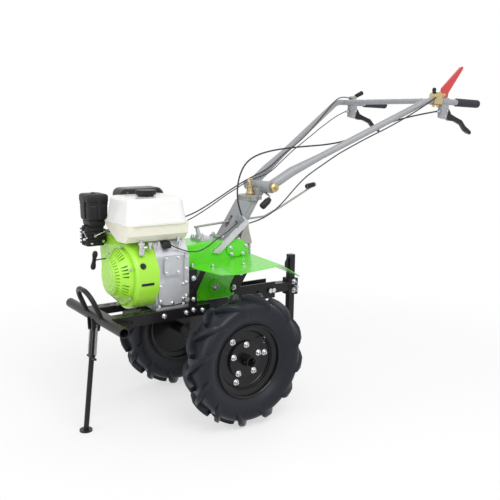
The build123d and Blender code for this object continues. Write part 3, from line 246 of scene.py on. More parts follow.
def finish(name, colour, shade, rough, metal=0.0, coat=0.0, mottle=9.0, grain=400.0, bump=0.1,
           edge=0.0, edge_wear_and_highlight_colour=(0.5, 0.5, 0.5), dust=0.0, scratch=0.0, rough_spread=0.1, shine=0.5):
    """A material of one finish: two tones of its colour, edge wear and painted edge highlights, dust on top
    and a fine grain.
    """
    material = bpy.data.materials.new(name)
    material.use_nodes = True
    nodes_here, links = material.node_tree.nodes, material.node_tree.links
    shader = nodes_here["Principled BSDF"]
    shader.inputs["Metallic"].default_value = metal
    shader.inputs["Specular IOR Level"].default_value = shine
    shader.inputs["Coat Weight"].default_value = coat
    shader.inputs["Coat Roughness"].default_value = 0.08
    wear_and_highlight = nodes_here.new("ShaderNodeGroup")
    wear_and_highlight.node_tree = masks
    wear_and_highlight.inputs["Mottle Scale"].default_value = mottle
    wear_and_highlight.inputs["Grain Scale"].default_value = grain

    def mix(before, after, mask, amount):
        weigh = nodes_here.new("ShaderNodeMath")
        weigh.operation = "MULTIPLY"
        weigh.inputs[1].default_value = amount
        blend = nodes_here.new("ShaderNodeMix")
        blend.data_type = "RGBA"
        links.new(wear_and_highlight.outputs[mask], weigh.inputs[0])
        links.new(weigh.outputs[0], blend.inputs["Factor"])
        if isinstance(before, tuple):
            blend.inputs["A"].default_value = (*before, 1.0)
        else:
            links.new(before, blend.inputs["A"])
        blend.inputs["B"].default_value = (*after, 1.0)
        return blend.outputs["Result"]

    tone = mix(colour, shade, "Mottle", 1.0)
    if scratch:
        tone = mix(tone, edge_wear_and_highlight_colour, "Scratches", scratch)
    if edge:
        tone = mix(tone, edge_wear_and_highlight_colour, "Edges", edge)
    if dust:
        tone = mix(tone, (0.42, 0.39, 0.35), "Dust", dust)
    links.new(tone, shader.inputs["Base Color"])
    gloss = nodes_here.new("ShaderNodeMapRange")
    gloss.inputs["To Min"].default_value = rough - rough_spread / 2
    gloss.inputs["To Max"].default_value = rough + rough_spread / 2
    links.new(wear_and_highlight.outputs["Mottle"], gloss.inputs["Value"])
    links.new(gloss.outputs["Result"], shader.inputs["Roughness"])
    relief = nodes_here.new("ShaderNodeBump")
    relief.inputs["Strength"].default_value = bump
    relief.inputs["Distance"].default_value = 0.001
    links.new(wear_and_highlight.outputs["Grain"], relief.inputs["Height"])
    links.new(relief.outputs["Normal"], shader.inputs["Normal"])
    return material


def dress(material, *names):
    """Give CAD nodes a material in the place of their plain one."""
    for name in names:
        mesh = nodes[name].data
        mesh.materials.clear()
        mesh.materials.append(material)


def piece(name, mesh, material, body, smooth=40.0):
    """Turn a finished bmesh into an object that rides on a body, or on none."""
    bmesh.ops.recalc_face_normals(mesh, faces=mesh.faces)
    data = bpy.data.meshes.new(name)
    mesh.to_mesh(data)
    mesh.free()
    data.materials.append(material)
    made = bpy.data.objects.new(name, data)
    bpy.context.scene.collection.objects.link(made)
    if smooth:
        data.shade_smooth()
        data.set_sharp_from_angle(angle=radians(smooth))
    if body:
        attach(made, body)
    return made


# The lighter blue on the lug edges is a painted highlight, and the faint blue in both tones of the rubber is
# a painted reflection.
tyre_rubber = finish(
    "tyre_rubber", (0.006, 0.007, 0.011), (0.011, 0.014, 0.024), 0.36, mottle=14.0, grain=900.0,
    bump=0.12, dust=0.05, edge=0.35, edge_wear_and_highlight_colour=(0.07, 0.085, 0.12), rough_spread=0.14, shine=0.26,
)
axle = (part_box("tyre_left")[0].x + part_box("tyre_left")[1].x) / 2
axle_height = (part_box("tyre_left")[0].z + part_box("tyre_left")[1].z) / 2
hub_height = axle_height * 1000
wheel_middle = (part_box("rim_left")[0].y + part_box("rim_left")[1].y) / 2
lugs_per_side = 12


def at(x, y, z):
    """A point given in millimetres from the axle line, in metres in the machine's frame."""
    return Vector((axle + x / 1000, y / 1000, z / 1000))


def join_into(mesh, part):
    """Add a finished bmesh to another one, and free it."""
    carried = bpy.data.meshes.new("carried")
    part.to_mesh(carried)
    part.free()
    mesh.from_mesh(carried)
    bpy.data.meshes.remove(carried)


def tread_lug():
    """One lug as a bar bent from the middle of the crown over the shoulder, about the wheel's centre."""
    bar = bmesh.new()
    bmesh.ops.create_cube(bar, size=1.0)
    long_edges = [edge for edge in bar.edges if abs(edge.verts[0].co.x - edge.verts[1].co.x) > 0.5]
    bmesh.ops.subdivide_edges(bar, edges=long_edges, cuts=6, use_grid_fill=True)
    # root across, root radius, top across, top radius, sweep in degrees, width
    stations = (
        (-6, 208, -3, 234.2, -1.5, 20), (9, 209, 9, 235.0, 1.4, 22), (22, 209, 23, 234.4, 4.6, 25),
        (34, 206, 38, 230.5, 8.6, 28), (44, 198, 50, 220.0, 12.8, 30), (49, 186, 57.5, 205.0, 16.6, 28),
        (50, 174, 58.6, 190.0, 19.6, 20), (49, 163, 54.0, 173.0, 22.0, 8),
    )
    for vert in bar.verts:
        root_y, root_r, top_y, top_r, sweep, width = stations[round((vert.co.x + 0.5) * 7)]
        y, r, spread = (top_y, top_r, 0.74) if vert.co.z > 0 else (root_y, root_r, 1.2)
        angle = radians(sweep) + vert.co.y * spread * width / 220
        vert.co = Vector((-sin(angle) * r, y, cos(angle) * r)) / 1000
    bmesh.ops.recalc_face_normals(bar, faces=bar.faces)
    bmesh.ops.bevel(
        bar, geom=[edge for edge in bar.edges if edge.calc_face_angle(0) > radians(40)], offset=0.0016,
        segments=2, profile=0.5, affect="EDGES", material=-1,
    )
    return bar


def tyre_mesh():
    """A tyre about the wheel's centre: the carcass spun from its section, and two rows of lugs."""
    section = (
        (128, 0), (128, 30), (135, 32.5), (139, 37), (142, 38.5), (146, 42), (160, 50), (176, 54.5),
        (190, 55), (201, 51), (208, 43), (212, 30), (214, 15), (214.5, 0),
    )
    ring = bmesh.new()
    outline = [ring.verts.new(Vector((0.0, y, r)) / 1000) for r, y in section]
    outline += [ring.verts.new(Vector((0.0, -y, r)) / 1000) for r, y in reversed(section[1:-1])]
    profile = [ring.edges.new(pair) for pair in zip(outline, outline[1:] + outline[:1])]
    bmesh.ops.spin(
        ring, geom=outline + profile, cent=(0, 0, 0), axis=(0, 1, 0), angle=2 * pi, steps=96, use_merge=True,
    )
    pitch = 2 * pi / lugs_per_side
    for hand, start in ((1, 0.0), (-1, pitch / 2)):
        bar = tread_lug()
        bmesh.ops.scale(bar, vec=(1, hand, 1), verts=bar.verts)
        bmesh.ops.rotate(bar, cent=(0, 0, 0), matrix=Matrix.Rotation(start, 3, "Y"), verts=bar.verts)
        bmesh.ops.spin(
            bar, geom=bar.verts[:] + bar.edges[:] + bar.faces[:], cent=(0, 0, 0), axis=(0, 1, 0),
            angle=2 * pi - pitch, steps=lugs_per_side - 1, use_duplicate=True,
        )
        join_into(ring, bar)
    return ring


for side, hand in (("left", 1), ("right", -1)):
    tread = tyre_mesh()
    bmesh.ops.translate(tread, vec=Vector((axle, hand * wheel_middle, axle_height)), verts=tread.verts)
    tyre = piece(f"tread_{side}", tread, tyre_rubber, f"wheel_{side}", smooth=35.0)
    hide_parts(f"tyre_{side}")

# Rims, hubs and axles: black stoved pressings on plated half axles. Five plated bolts hold each disc
# to its hub, three more hold it to the rim's lugs, and a valve stem stands in the well.
stoved_black = finish(
    "stoved_black", (0.006, 0.006, 0.007), (0.011, 0.011, 0.013), 0.30, coat=0.12, mottle=20.0,
    grain=1100.0, bump=0.04, edge=0.35, edge_wear_and_highlight_colour=(0.13, 0.13, 0.14), dust=0.03, shine=0.22,
)
bright_zinc = finish(
    "bright_zinc", (0.72, 0.73, 0.74), (0.50, 0.51, 0.54), 0.27, metal=1.0, mottle=120.0,
    grain=1500.0, bump=0.08, rough_spread=0.2,
)
dress(stoved_black, "hub_left", "hub_right")
dress(bright_zinc, "half_axle_left", "half_axle_right", "clutch_arm")


def spun(mesh, centre, axis, outline, segments=96):
    """A closed ring turned from an outline of radius and reach along the axis, in millimetres."""
    axis = Vector(axis).normalized()
    out = Vector((0, 0, 1)) if abs(axis.z) < 0.5 else Vector((1, 0, 0))
    out = (out - axis * out.dot(axis)).normalized()
    spots = [mesh.verts.new(centre + out * r / 1000 + axis * d / 1000) for r, d in outline]
    loop = [mesh.edges.new(pair) for pair in zip(spots, spots[1:] + spots[:1])]
    bmesh.ops.spin(
        mesh, geom=spots + loop, cent=centre, axis=axis, angle=2 * pi, steps=segments, use_merge=True,
    )


rim_outline = [(131.4, 33.4), (131.4, 31.2), (126.5, 30.0), (126.5, 16.0), (112.0, 9.0)]
rim_outline += [(r, -d) for r, d in reversed(rim_outline)]
rim_outline += [
    (128.0, -34.2), (124.2, -31.0), (123.6, -17.0), (109.0, -10.4), (109.0, 10.4), (123.6, 17.0),
    (124.2, 31.0), (126.4, 33.8), (128.4, 34.9), (130.4, 34.8),
]
disc_outline = (
    (20.4, -4.4), (60.0, -4.4), (95.0, -4.4), (99.5, -3.2), (102.0, -0.6), (103.2, 4.4), (105.0, 6.6),
    (108.8, 6.6), (108.8, -8.0), (104.0, -8.9), (20.4, -8.9),
)
facing_outline = ((20.4, 3.9), (65.2, 3.9), (65.2, 4.9), (64.2, 5.3), (21.0, 5.3), (20.4, 4.9))


def turned(mesh, start, axis, radius, length, segments=28, tip=None):
    """A round or many-sided bar from a point along an axis, with its far end as wide as tip."""
    axis = Vector(axis).normalized()
    far = radius if tip is None else tip
    middle = Matrix.Translation(start + axis * length / 2000)
    place = middle @ axis.to_track_quat("Z", "Y").to_matrix().to_4x4()
    bmesh.ops.create_cone(
        mesh, cap_ends=True, segments=segments, radius1=radius / 1000, radius2=far / 1000,
        depth=length / 1000, matrix=place,
    )


def bolt(mesh, seat, axis, across=13.0, stud=3.0):
    """A bolt head on its washer, with its corners taken off and a short stud in its middle."""
    axis = Vector(axis).normalized()
    step = axis / 1000
    turned(mesh, seat, axis, across * 0.78, across * 0.13)
    turned(mesh, seat + step * across * 0.13, axis, across * 0.577, across * 0.5, segments=6)
    crown = seat + step * across * 0.63
    turned(mesh, crown, axis, across * 0.5, across * 0.08, segments=24, tip=across * 0.42)
    if stud:
        turned(mesh, seat + step * across * 0.7, axis, across * 0.28, stud, segments=16, tip=across * 0.22)


for side, hand in (("left", 1), ("right", -1)):
    centre_y = hand * abs(wheel_middle) * 1000
    pressing = bmesh.new()
    for outline in (rim_outline, disc_outline, facing_outline):
        spun(pressing, at(0, centre_y, hub_height), (0, hand, 0), outline)
    rim = piece(f"wheel_rim_{side}", pressing, stoved_black, f"wheel_{side}", smooth=30.0)
    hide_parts(f"rim_{side}")
    wheel_bolts = bmesh.new()
    for count, ring_radius, first_angle, face in ((5, 55, 90, 5.3), (3, 86, 53.7, -4.4)):
        for turn in range(count):
            angle = radians(first_angle + 360 / count * turn)
            rise = ring_radius * sin(angle)
            seat = at(ring_radius * cos(angle), centre_y + hand * face, hub_height + rise)
            bolt(wheel_bolts, seat, (0, hand, 0), 14, 5)
    piece(f"wheel_bolts_{side}", wheel_bolts, bright_zinc, f"wheel_{side}", smooth=30.0)
    stem = bmesh.new()
    stem_foot, stem_line = at(-80, centre_y + hand * 4, hub_height + 70), (0.55, hand * 0.62, -0.5)
    turned(stem, stem_foot, stem_line, 3.2, 27)
    turned(stem, stem_foot, stem_line, 5.5, 6, tip=4.2)
    piece(f"valve_stem_{side}", stem, bright_zinc, f"wheel_{side}", smooth=30.0)

# Frame, bumper, stand and hitch: angle and tube steel, welded and painted black, that carries the
# engine and the stand. Plated bolts hold it to the castings.
frame_black = finish(
    "frame_black", (0.007, 0.006, 0.007), (0.013, 0.011, 0.012), 0.36, coat=0.10, mottle=16.0,
    grain=900.0, bump=0.06, edge=0.4, edge_wear_and_highlight_colour=(0.14, 0.14, 0.15), dust=0.04, scratch=0.08, shine=0.24,
)
dress(
    frame_black, "rail_left", "rail_right", "cross_members", "bumper", "stand_leg", "hitch", "depth_bar",
    "uprights", "fender_brackets",
)
frame_bolts = bmesh.new()
for hand in (1, -1):
    for x, z in ((150, 392), (238, 392), (84, 392), (121, 397)):
        bolt(frame_bolts, at(x, hand * 100, z), (0, hand, 0), 13, 3)
    for x, z in ((121, 436), (121, 512)):
        bolt(frame_bolts, at(x, hand * 100, z), (0, hand, 0), 12, 3)
    for x, z in ((-70, 448), (-104, 500)):
        bolt(frame_bolts, at(x, hand * 66.4, z), (0, hand, 0), 13, 4)
    for x, y in ((152, 82), (246, 82)):
        bolt(frame_bolts, at(x, hand * y, 420.2), (0, 0, 1), 13, 4)
    for x in (-76, -100):
        bolt(frame_bolts, at(x, hand * 33.2, 392), (0, hand, 0), 15, 4)
piece("frame_bolts", frame_bolts, bright_zinc, "root", smooth=30.0)

# Hitch pins: two plated steel pins with turned heads, pushed through the drawbar. Two plated bolts
# and a screw with a cross handle clamp the depth bar in its sleeve.
hitch_pins = bmesh.new()
for x in (-262, -278):
    turned(hitch_pins, at(x, 38.2, 404), (0, 1, 0), 9, 5)
    turned(hitch_pins, at(x, -38.2, 404), (0, -1, 0), 4.5, 12)
for z in (386, 422):
    bolt(hitch_pins, at(-392, 22.2, z), (0, 1, 0), 13, 8)
turned(hitch_pins, at(-392, 24, 404), (0, 1, 0), 5, 26)
turned(hitch_pins, at(-392, 46, 388), (0, 0, 1), 3, 32)
piece("hitch_pins", hitch_pins, bright_zinc, "root", smooth=30.0)

# Stand springs: two close-wound plated springs, each with a hook at its ends, from a peg on the
# bumper's ears down to the cross-arm of the leg.
spring_zinc = finish(
    "spring_zinc", (0.62, 0.60, 0.55), (0.42, 0.42, 0.42), 0.30, metal=1.0, mottle=90.0, grain=900.0,
)


def tube_mesh(name, points, radius, sides=4):
    """The mesh of a round wire or cable whose line is one NURBS spline through its control points."""
    curve = bpy.data.curves.new(name, "CURVE")
    curve.dimensions = "3D"
    curve.bevel_depth = radius / 1000
    curve.bevel_resolution = sides
    curve.use_fill_caps = True
    spline = curve.splines.new("NURBS")
    spline.points.add(len(points) - 1)
    for spot, point in zip(spline.points, points):
        spot.co = (*point, 1.0)
    spline.order_u = 3
    spline.use_endpoint_u = True
    spline.resolution_u = 5
    drawn = bpy.data.objects.new(name, curve)
    bpy.context.scene.collection.objects.link(drawn)
    bpy.context.view_layer.update()
    data = bpy.data.meshes.new_from_object(drawn.evaluated_get(bpy.context.evaluated_depsgraph_get()))
    bpy.data.objects.remove(drawn)
    made = bmesh.new()
    made.from_mesh(data)
    bpy.data.meshes.remove(data)
    return made


coil_turns = 26
coil_radius = 0.0038
spring_low, spring_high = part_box("stand_springs")
for label, hand in (("left", 1), ("right", -1)):
    hook_y = hand * (spring_high.y - 0.005)
    top = Vector((spring_low.x + 0.0055, hook_y, spring_high.z - 0.001))
    foot = Vector((spring_high.x - 0.0055, hook_y, spring_low.z + 0.001))
    along = foot - top
    across = Vector((0, 1, 0))
    other = along.normalized().cross(across)
    line = [top + Vector((0, 0, 0.002)), top + along * 0.04]
    for step in range(coil_turns * 8 + 1):
        share = 0.10 + 0.80 * step / (coil_turns * 8)
        angle = step * pi / 4
        line.append(top + along * share + (across * cos(angle) + other * sin(angle)) * coil_radius)
    line += [top + along * 0.96, foot]
    spring = piece(
        f"stand_spring_{label}", tube_mesh("coil", line, 0.95, sides=2), spring_zinc, None,
        smooth=60.0,
    )
    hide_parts("stand_springs")
    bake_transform(spring)

# Engine castings: the aluminium crankcase with its cylinder, and the gear selector plate on the gear
# case, left as cast. Small plated bolts hold the crankcase's side covers and the plate.
cast_alloy = finish(
    "cast_alloy", (0.66, 0.67, 0.70), (0.50, 0.51, 0.54), 0.44, metal=0.75, mottle=30.0,
    grain=700.0, bump=0.45, edge=0.2, edge_wear_and_highlight_colour=(0.85, 0.85, 0.87), rough_spread=0.16,
)
dress(cast_alloy, "crankcase", "selector_plate")
case_bolts = bmesh.new()
for x, z in ((182, 541), (228, 541), (182, 591), (228, 591)):
    bolt(case_bolts, at(x, 102.2, z), (0, 1, 0), 9, 0)
lower_cover_bolts = ((160, 444), (204, 434), (248, 444), (160, 496), (248, 496))
rear_flange_bolts = ((147, 452), (147, 500), (147, 548), (147, 590))
for x, z in lower_cover_bolts + rear_flange_bolts:
    bolt(case_bolts, at(x, 97.2, z), (0, 1, 0), 9, 0)
for x, y in ((6, 34), (46, 34), (6, -34), (46, -34)):
    bolt(case_bolts, at(x, y, 635.4), (0, 0, 1), 9, 0)
piece("case_bolts", case_bolts, bright_zinc, "root", smooth=30.0)

# Blower housing and recoil cover: two lime green pressings, with a rubber plug in the blower's side,
# a slot for the governor beside it, small screws round the cover and a plain round boss in front.
lime_paint = finish(
    "lime_paint", (0.40, 0.80, 0.050), (0.33, 0.72, 0.030), 0.27, coat=0.45, mottle=6.0, grain=500.0,
    bump=0.03, dust=0.02,
)
moulded_black = finish(
    "moulded_black", (0.009, 0.009, 0.011), (0.016, 0.015, 0.018), 0.46, mottle=24.0, grain=1600.0,
    bump=0.20, dust=0.03, edge=0.25, edge_wear_and_highlight_colour=(0.07, 0.07, 0.08), shine=0.28,
)
dress(lime_paint, "blower_housing", "recoil_cover")
cover_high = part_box("recoil_cover")[1]
crank_height = (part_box("recoil_cover")[0].z + cover_high.z) / 2 * 1000
cover_front = (cover_high.x - axle) * 1000
boss = bmesh.new()
turned(boss, at(cover_front, 0, crank_height), (1, 0, 0), 52, 2.2, segments=48, tip=50)
turned(boss, at(cover_front + 2.2, 0, crank_height), (1, 0, 0), 34, 1.6, segments=48, tip=32)
piece("cover_boss", boss, lime_paint, "root", smooth=30.0)
blower_fittings = bmesh.new()
plug_angle = radians(24)
plug_line = (0, cos(plug_angle), sin(plug_angle))
plug_seat = at(318, 116 * cos(plug_angle), crank_height + 116 * sin(plug_angle))
turned(blower_fittings, plug_seat, plug_line, 11, 3, tip=9.5)
turned(blower_fittings, plug_seat, plug_line, 5, 4.5, tip=4)
slot_bar = bmesh.ops.create_cube(blower_fittings, size=1.0)
bmesh.ops.scale(blower_fittings, vec=(0.046, 0.003, 0.008), verts=slot_bar["verts"])
bmesh.ops.translate(blower_fittings, vec=at(306, 115.2, crank_height - 14), verts=slot_bar["verts"])
piece("blower_fittings", blower_fittings, moulded_black, "root", smooth=30.0)
cover_screws = bmesh.new()
for turn in range(6):
    angle = radians(60 * turn + 8)
    seat = at(cover_front - 39, 103 * sin(angle), crank_height + 103 * cos(angle))
    bolt(cover_screws, seat, (1, 0, 0), 8, 0)
piece("cover_screws", cover_screws, bright_zinc, "root", smooth=30.0)

# Recoil handle: a moulded bar as long as a hand is wide, thicker at both ends, on its rope. The rope
# runs back through a lime green eye on the blower housing.
pull = bmesh.new()
pull_top, pull_foot = at(404, -84, 606), at(404, -112, 536)
pull_axis = pull_foot - pull_top
# distance along the handle, radius
pull_shape = (
    (0, 1), (3, 6.5), (9, 9), (17, 9.5), (28, 7.2), (38, 6.8), (48, 7.2), (60, 9.2), (69, 8.8),
    (74, 6), (76, 1),
)
pull_scale = pull_axis.length * 1000 / pull_shape[-1][0]
spun(pull, pull_top, pull_axis, [(r, d * pull_scale) for d, r in pull_shape], 24)
handle = piece("recoil_handle", pull, moulded_black, "root", smooth=50.0)
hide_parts("recoil_grip")
rope_route = ((402, -98, 570), (388, -100, 572), (368, -106, 571), (346.5, -110, 570))
rope = tube_mesh("rope", [at(*point) for point in rope_route], 2.2, 3)
piece("recoil_rope", rope, moulded_black, "root", smooth=60.0)
eye = bmesh.new()
eye_outline = ((3.2, 0), (9.5, 0), (9.5, 3), (7.5, 6.5), (3.2, 6.5))
spun(eye, at(346.3, -110, 570), (1, 0, 0), eye_outline, 28)
piece("rope_eye", eye, lime_paint, "root", smooth=30.0)

# Fuel tank: two steel pressings, white above and cream below, crimped at the seam. It has a moulded
# black cap, and a plated tap and pipe fittings beneath.
cream_paint = finish(
    "cream_paint", (0.83, 0.81, 0.69), (0.77, 0.75, 0.62), 0.28, coat=0.4, mottle=6.0, grain=450.0,
    bump=0.03, dust=0.02,
)
white_paint = finish(
    "white_paint", (0.84, 0.84, 0.83), (0.80, 0.80, 0.79), 0.25, coat=0.4, mottle=6.0, grain=450.0,
    bump=0.03, dust=0.02,
)
dress(cream_paint, "tank_lower")
dress(white_paint, "tank_upper")
dress(moulded_black, "fuel_cap", "oil_sensor")
dress(bright_zinc, "fuel_tap")
tank_fittings = bmesh.new()
# place, direction, radius, length, radius at the far end
for spot, line, radius, length, tip in (
    ((316, 92, 634), (0, 1, -0.2), 7, 13, 5), ((316, 78, 634), (-1, 0.2, 0), 5, 24, None),
    ((316, 92, 612), (0, 0, 1), 9, 16, 10), ((286, 94, 652), (0, 0, -1), 8, 9, None),
    ((286, 94, 643), (0, 0, -1), 5, 13, None), ((254, 95, 652), (0, 0, -1), 5, 16, None),
    ((174, 86, 664), (0, 0, -1), 6, 12, None), ((174, 86, 652), (0, 0, -1), 9, 5, None),
    ((168, 88, 646), (0.3, 0.1, -1), 4, 22, None),
):
    turned(tank_fittings, at(*spot), line, radius, length, tip=tip)
piece("tank_fittings", tank_fittings, bright_zinc, "root", smooth=30.0)

# Air cleaner, carburettor and muffler: black mouldings with a lid that a round nut holds, a
# carburettor with its plated linkage, and a muffler and rocker cover in black paint.
dress(moulded_black, "carburettor")
dress(stoved_black, "muffler", "rocker_cover")


def box(mesh, low, high, corner=0.0, taper=1.0, segments=3):
    """A block between two corners, in millimetres, with rounded edges and a foot as wide as taper."""
    made = bmesh.new()
    bmesh.ops.create_cube(made, size=1.0)
    size = [(b - a) / 1000 for a, b in zip(low, high)]
    for vert in made.verts:
        narrow = taper if vert.co.z < 0 else 1.0
        vert.co = Vector((vert.co.x * size[0] * narrow, vert.co.y * size[1] * narrow, vert.co.z * size[2]))
    if corner:
        bmesh.ops.bevel(
            made, geom=made.edges[:], offset=corner / 1000, segments=segments, profile=0.5, affect="EDGES",
            material=-1,
        )
    middle = at(*[(a + b) / 2 for a, b in zip(low, high)])
    bmesh.ops.translate(made, vec=middle, verts=made.verts)
    join_into(mesh, made)


cleaner = bmesh.new()
# bowl, lid, the joint between them, a rib in front, a rib on the left, neck
for low, high, corner, taper, segments in (
    ((346, -180, 706), (420, -98, 764), 9, 0.96, 4), ((344, -182, 766), (422, -96, 799), 10, 1.0, 4),
    ((347, -179, 760), (419, -99, 770), 2, 1.0, 2), ((418, -136, 712), (424, -126, 790), 3, 1.0, 3),
    ((372, -100, 712), (386, -94, 790), 3, 1.0, 3), ((352, -174, 684), (414, -104, 708), 6, 0.9, 3),
):
    box(cleaner, low, high, corner, taper, segments)
turned(cleaner, at(384, -140, 799), (0, 0, 1), 9, 4, tip=7)
cleaner_case = piece("cleaner_case", cleaner, moulded_black, "root", smooth=30.0)
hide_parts("air_cleaner")
duct = bmesh.new()
for height in (624, 636, 648, 660, 672):
    box(duct, (354, -172, height), (424, -108, height + 5), 1.5, 1.0, 2)
box(duct, (419, -152, 620), (426, -140, 684), 2, 1.0, 2)
piece("intake_fins", duct, moulded_black, "root", smooth=30.0)
linkage = bmesh.new()
for spot, line, radius, length, tip in (
    ((424.4, -150, 654), (1, 0, 0), 5, 4, None), ((424.4, -124, 642), (1, 0, 0), 6, 6, 4),
    ((427, -124, 642), (0, 0.9, 0.3), 1.8, 26, None), ((424.4, -128, 668), (1, 0, 0), 4, 5, None),
    ((427, -128, 668), (0, 0.8, -0.5), 1.6, 30, None), ((366, -108, 634), (0, 1, 0), 6, 7, 5),
    ((396, -107.8, 655), (0, 1, 0), 5, 8, None), ((396, -102, 655), (-1, 0, 0.35), 1.8, 42, None),
    ((410, -107.8, 630), (0, 1, 0), 4, 12, None),
):
    turned(linkage, at(*spot), line, radius, length, tip=tip)
piece("carburettor_linkage", linkage, bright_zinc, "root", smooth=30.0)

# Gear case, axle case and fenders: a green painted casting over a cast iron leg, with folded green
# sheet fenders on both sides, held by plated bolts.
# The paler green on its edges is a painted highlight.
green_paint = finish(
    "green_paint", (0.115, 0.72, 0.010), (0.085, 0.60, 0.006), 0.28, coat=0.55, mottle=7.0,
    grain=420.0, bump=0.05, dust=0.04, edge=0.15, edge_wear_and_highlight_colour=(0.34, 0.85, 0.14),
)
cast_iron = finish(
    "cast_iron", (0.030, 0.031, 0.036), (0.055, 0.056, 0.062), 0.52, metal=0.3, mottle=26.0,
    grain=500.0, bump=0.6, dust=0.15, edge=0.25, edge_wear_and_highlight_colour=(0.16, 0.16, 0.17),
)
dress(green_paint, "gear_case", "fender_left", "fender_right")
dress(cast_iron, "axle_case")
gear_bolts = bmesh.new()
for hand in (1, -1):
    for x, z in ((-54, 598), (-122, 600), (-60, 574), (-108, 572)):
        bolt(gear_bolts, at(x, hand * 68.2, z), (0, hand, 0), 10, 2)
    bolt(gear_bolts, at(8, hand * 66.2, 460), (0, hand, 0), 18, 0)
    for x, y in ((112, 76), (60, 128), (-40, 172)):
        seat = at(x, hand * y, 554 + 2.6 - 0.06 * x - 0.055 * (y - 62))
        bolt(gear_bolts, seat, (0.06, hand * 0.055, 1), 12, 3)
for angle in range(0, 360, 60):
    for hand in (1, -1):
        seat = at(52 * cos(radians(angle)), hand * 61, hub_height + 52 * sin(radians(angle)))
        bolt(gear_bolts, seat, (0, hand, 0), 11, 0)
piece("gear_bolts", gear_bolts, bright_zinc, "root", smooth=30.0)

# Mast, head and handlebars: welded steel tube and plate in silver grey paint. Yellow plated bolts
# clamp them, and four plated bolts hold the mast's foot to the gear case.
silver_grey = finish(
    "silver_grey", (0.34, 0.35, 0.37), (0.29, 0.30, 0.32), 0.40, metal=0.0, coat=0.15, mottle=10.0,
    grain=650.0, bump=0.02, edge=0.25, edge_wear_and_highlight_colour=(0.55, 0.55, 0.56), dust=0.03, shine=0.35,
)
yellow_zinc = finish(
    "yellow_zinc", (0.66, 0.50, 0.22), (0.50, 0.42, 0.27), 0.30, metal=1.0, mottle=60.0, grain=900.0,
)
dull_zinc = finish(
    "dull_zinc", (0.44, 0.43, 0.38), (0.33, 0.33, 0.31), 0.36, metal=0.8, mottle=60.0, grain=900.0,
)
dress(silver_grey, "mast", "head", "handle_left", "handle_right", "handle_bar")
dress(yellow_zinc, "swivel_bolt", "pivot_bolt")
dress(dull_zinc, "gear_lever", "shift_bracket")
mast_bolts = bmesh.new()
for x in (-127, -43):
    for y in (-34, 34):
        bolt(mast_bolts, at(x, y, 633.4), (0, 0, 1), 12, 3)
piece("mast_bolts", mast_bolts, bright_zinc, "root", smooth=30.0)

# Swivel clamp: a turned yellow plated collar and nut on the swivel bolt, with toothed plated rims
# pressed round the edges of both discs.
swivel_x = -186
teeth = 48
tooth_tip, tooth_root = 45.6, 44.2


def raised(mesh, spots, lift):
    """A closed solid: the flat face through some points, drawn out along one vector."""
    face = mesh.faces.new([mesh.verts.new(spot) for spot in spots])
    walls = bmesh.ops.extrude_face_region(mesh, geom=[face])
    lifted = [item for item in walls["geom"] if isinstance(item, bmesh.types.BMVert)]
    bmesh.ops.translate(mesh, vec=lift, verts=lifted)


swivel_collar = bmesh.new()
collar_outline = (
    (10.3, 782.6), (16.5, 782.6), (16.5, 788), (13.5, 792), (13.5, 808), (16, 811), (16, 815), (10.3, 815),
)
spun(swivel_collar, at(swivel_x, 0, 0), (0, 0, 1), collar_outline, 32)
turned(swivel_collar, at(swivel_x, 0, 838.2), (0, 0, 1), 9, 3, tip=6)
piece("swivel_collar", swivel_collar, yellow_zinc, "head", smooth=30.0)
for label, body, low in (("lower", "root", 762.4), ("upper", "head", 771.9)):
    serrated = bmesh.new()
    ring = []
    for step in range(teeth * 2):
        angle = pi * step / teeth
        reach = tooth_tip if step % 2 else tooth_root
        ring.append(at(swivel_x + reach * cos(angle), reach * sin(angle), low))
    raised(serrated, ring, (0, 0, 0.0082))
    piece(f"serrated_{label}", serrated, dull_zinc, body, smooth=20.0)

# Pivot clamp and its lever: a domed yellow washer and nut on the pivot bolt's left end, with a thin
# plated rod that hangs forward to its black knob.
pivot_x, pivot_z = -232, 811
pivot_dome = bmesh.new()
dome_outline = ((0.5, 92.2), (17, 92.2), (16.4, 95.5), (13.5, 98.5), (9, 100.2), (0.5, 100.8))
spun(pivot_dome, at(pivot_x, 0, pivot_z), (0, 1, 0), dome_outline, 32)
turned(pivot_dome, at(pivot_x, 100, pivot_z), (0, 1, 0), 9.5, 8, segments=6)
turned(pivot_dome, at(pivot_x, 108, pivot_z), (0, 1, 0), 6, 5, tip=5)
piece("pivot_dome", pivot_dome, yellow_zinc, "handlebars", smooth=30.0)
clamp_rod = bmesh.new()
rod_top, rod_foot = at(-231, 32, 789.6), at(-213, 88, 781)
turned(clamp_rod, rod_top, rod_foot - rod_top, 4, (rod_foot - rod_top).length * 1000)
turned(clamp_rod, rod_foot - (rod_foot - rod_top) * 0.03, at(-203, 100, 770) - rod_foot, 3.6, 26)
rod = piece("clamp_rod", clamp_rod, bright_zinc, "head", smooth=30.0)
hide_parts("clamp_lever")
clamp_knob = bmesh.new()
knob_neck, knob_end = at(-205, 98, 771), at(-168, 98, 742)
knob_outline = (
    (0.5, -2), (8, -2), (10, 1), (10.6, 8), (12.4, 9), (12.8, 40), (11, 44), (0.5, 45.5),
)
spun(clamp_knob, knob_neck, knob_end - knob_neck, knob_outline, 28)
piece("clamp_knob", clamp_knob, moulded_black, "head", smooth=30.0)

# Gear knob: a moulded black plastic sleeve with a narrower neck, pushed on the end of the plated
# gear lever.
gear_knob = bmesh.new()
knob_line = (0.985, 0, -0.17)
turned(gear_knob, at(-508, 0, 806.3), knob_line, 7, 8, tip=9.6)
turned(gear_knob, at(-500.2, 0, 805), knob_line, 9.8, 34, tip=10.6)
turned(gear_knob, at(-466.6, 0, 799.2), knob_line, 10.6, 5, tip=8)
piece("gear_knob", gear_knob, moulded_black, "root", smooth=30.0)

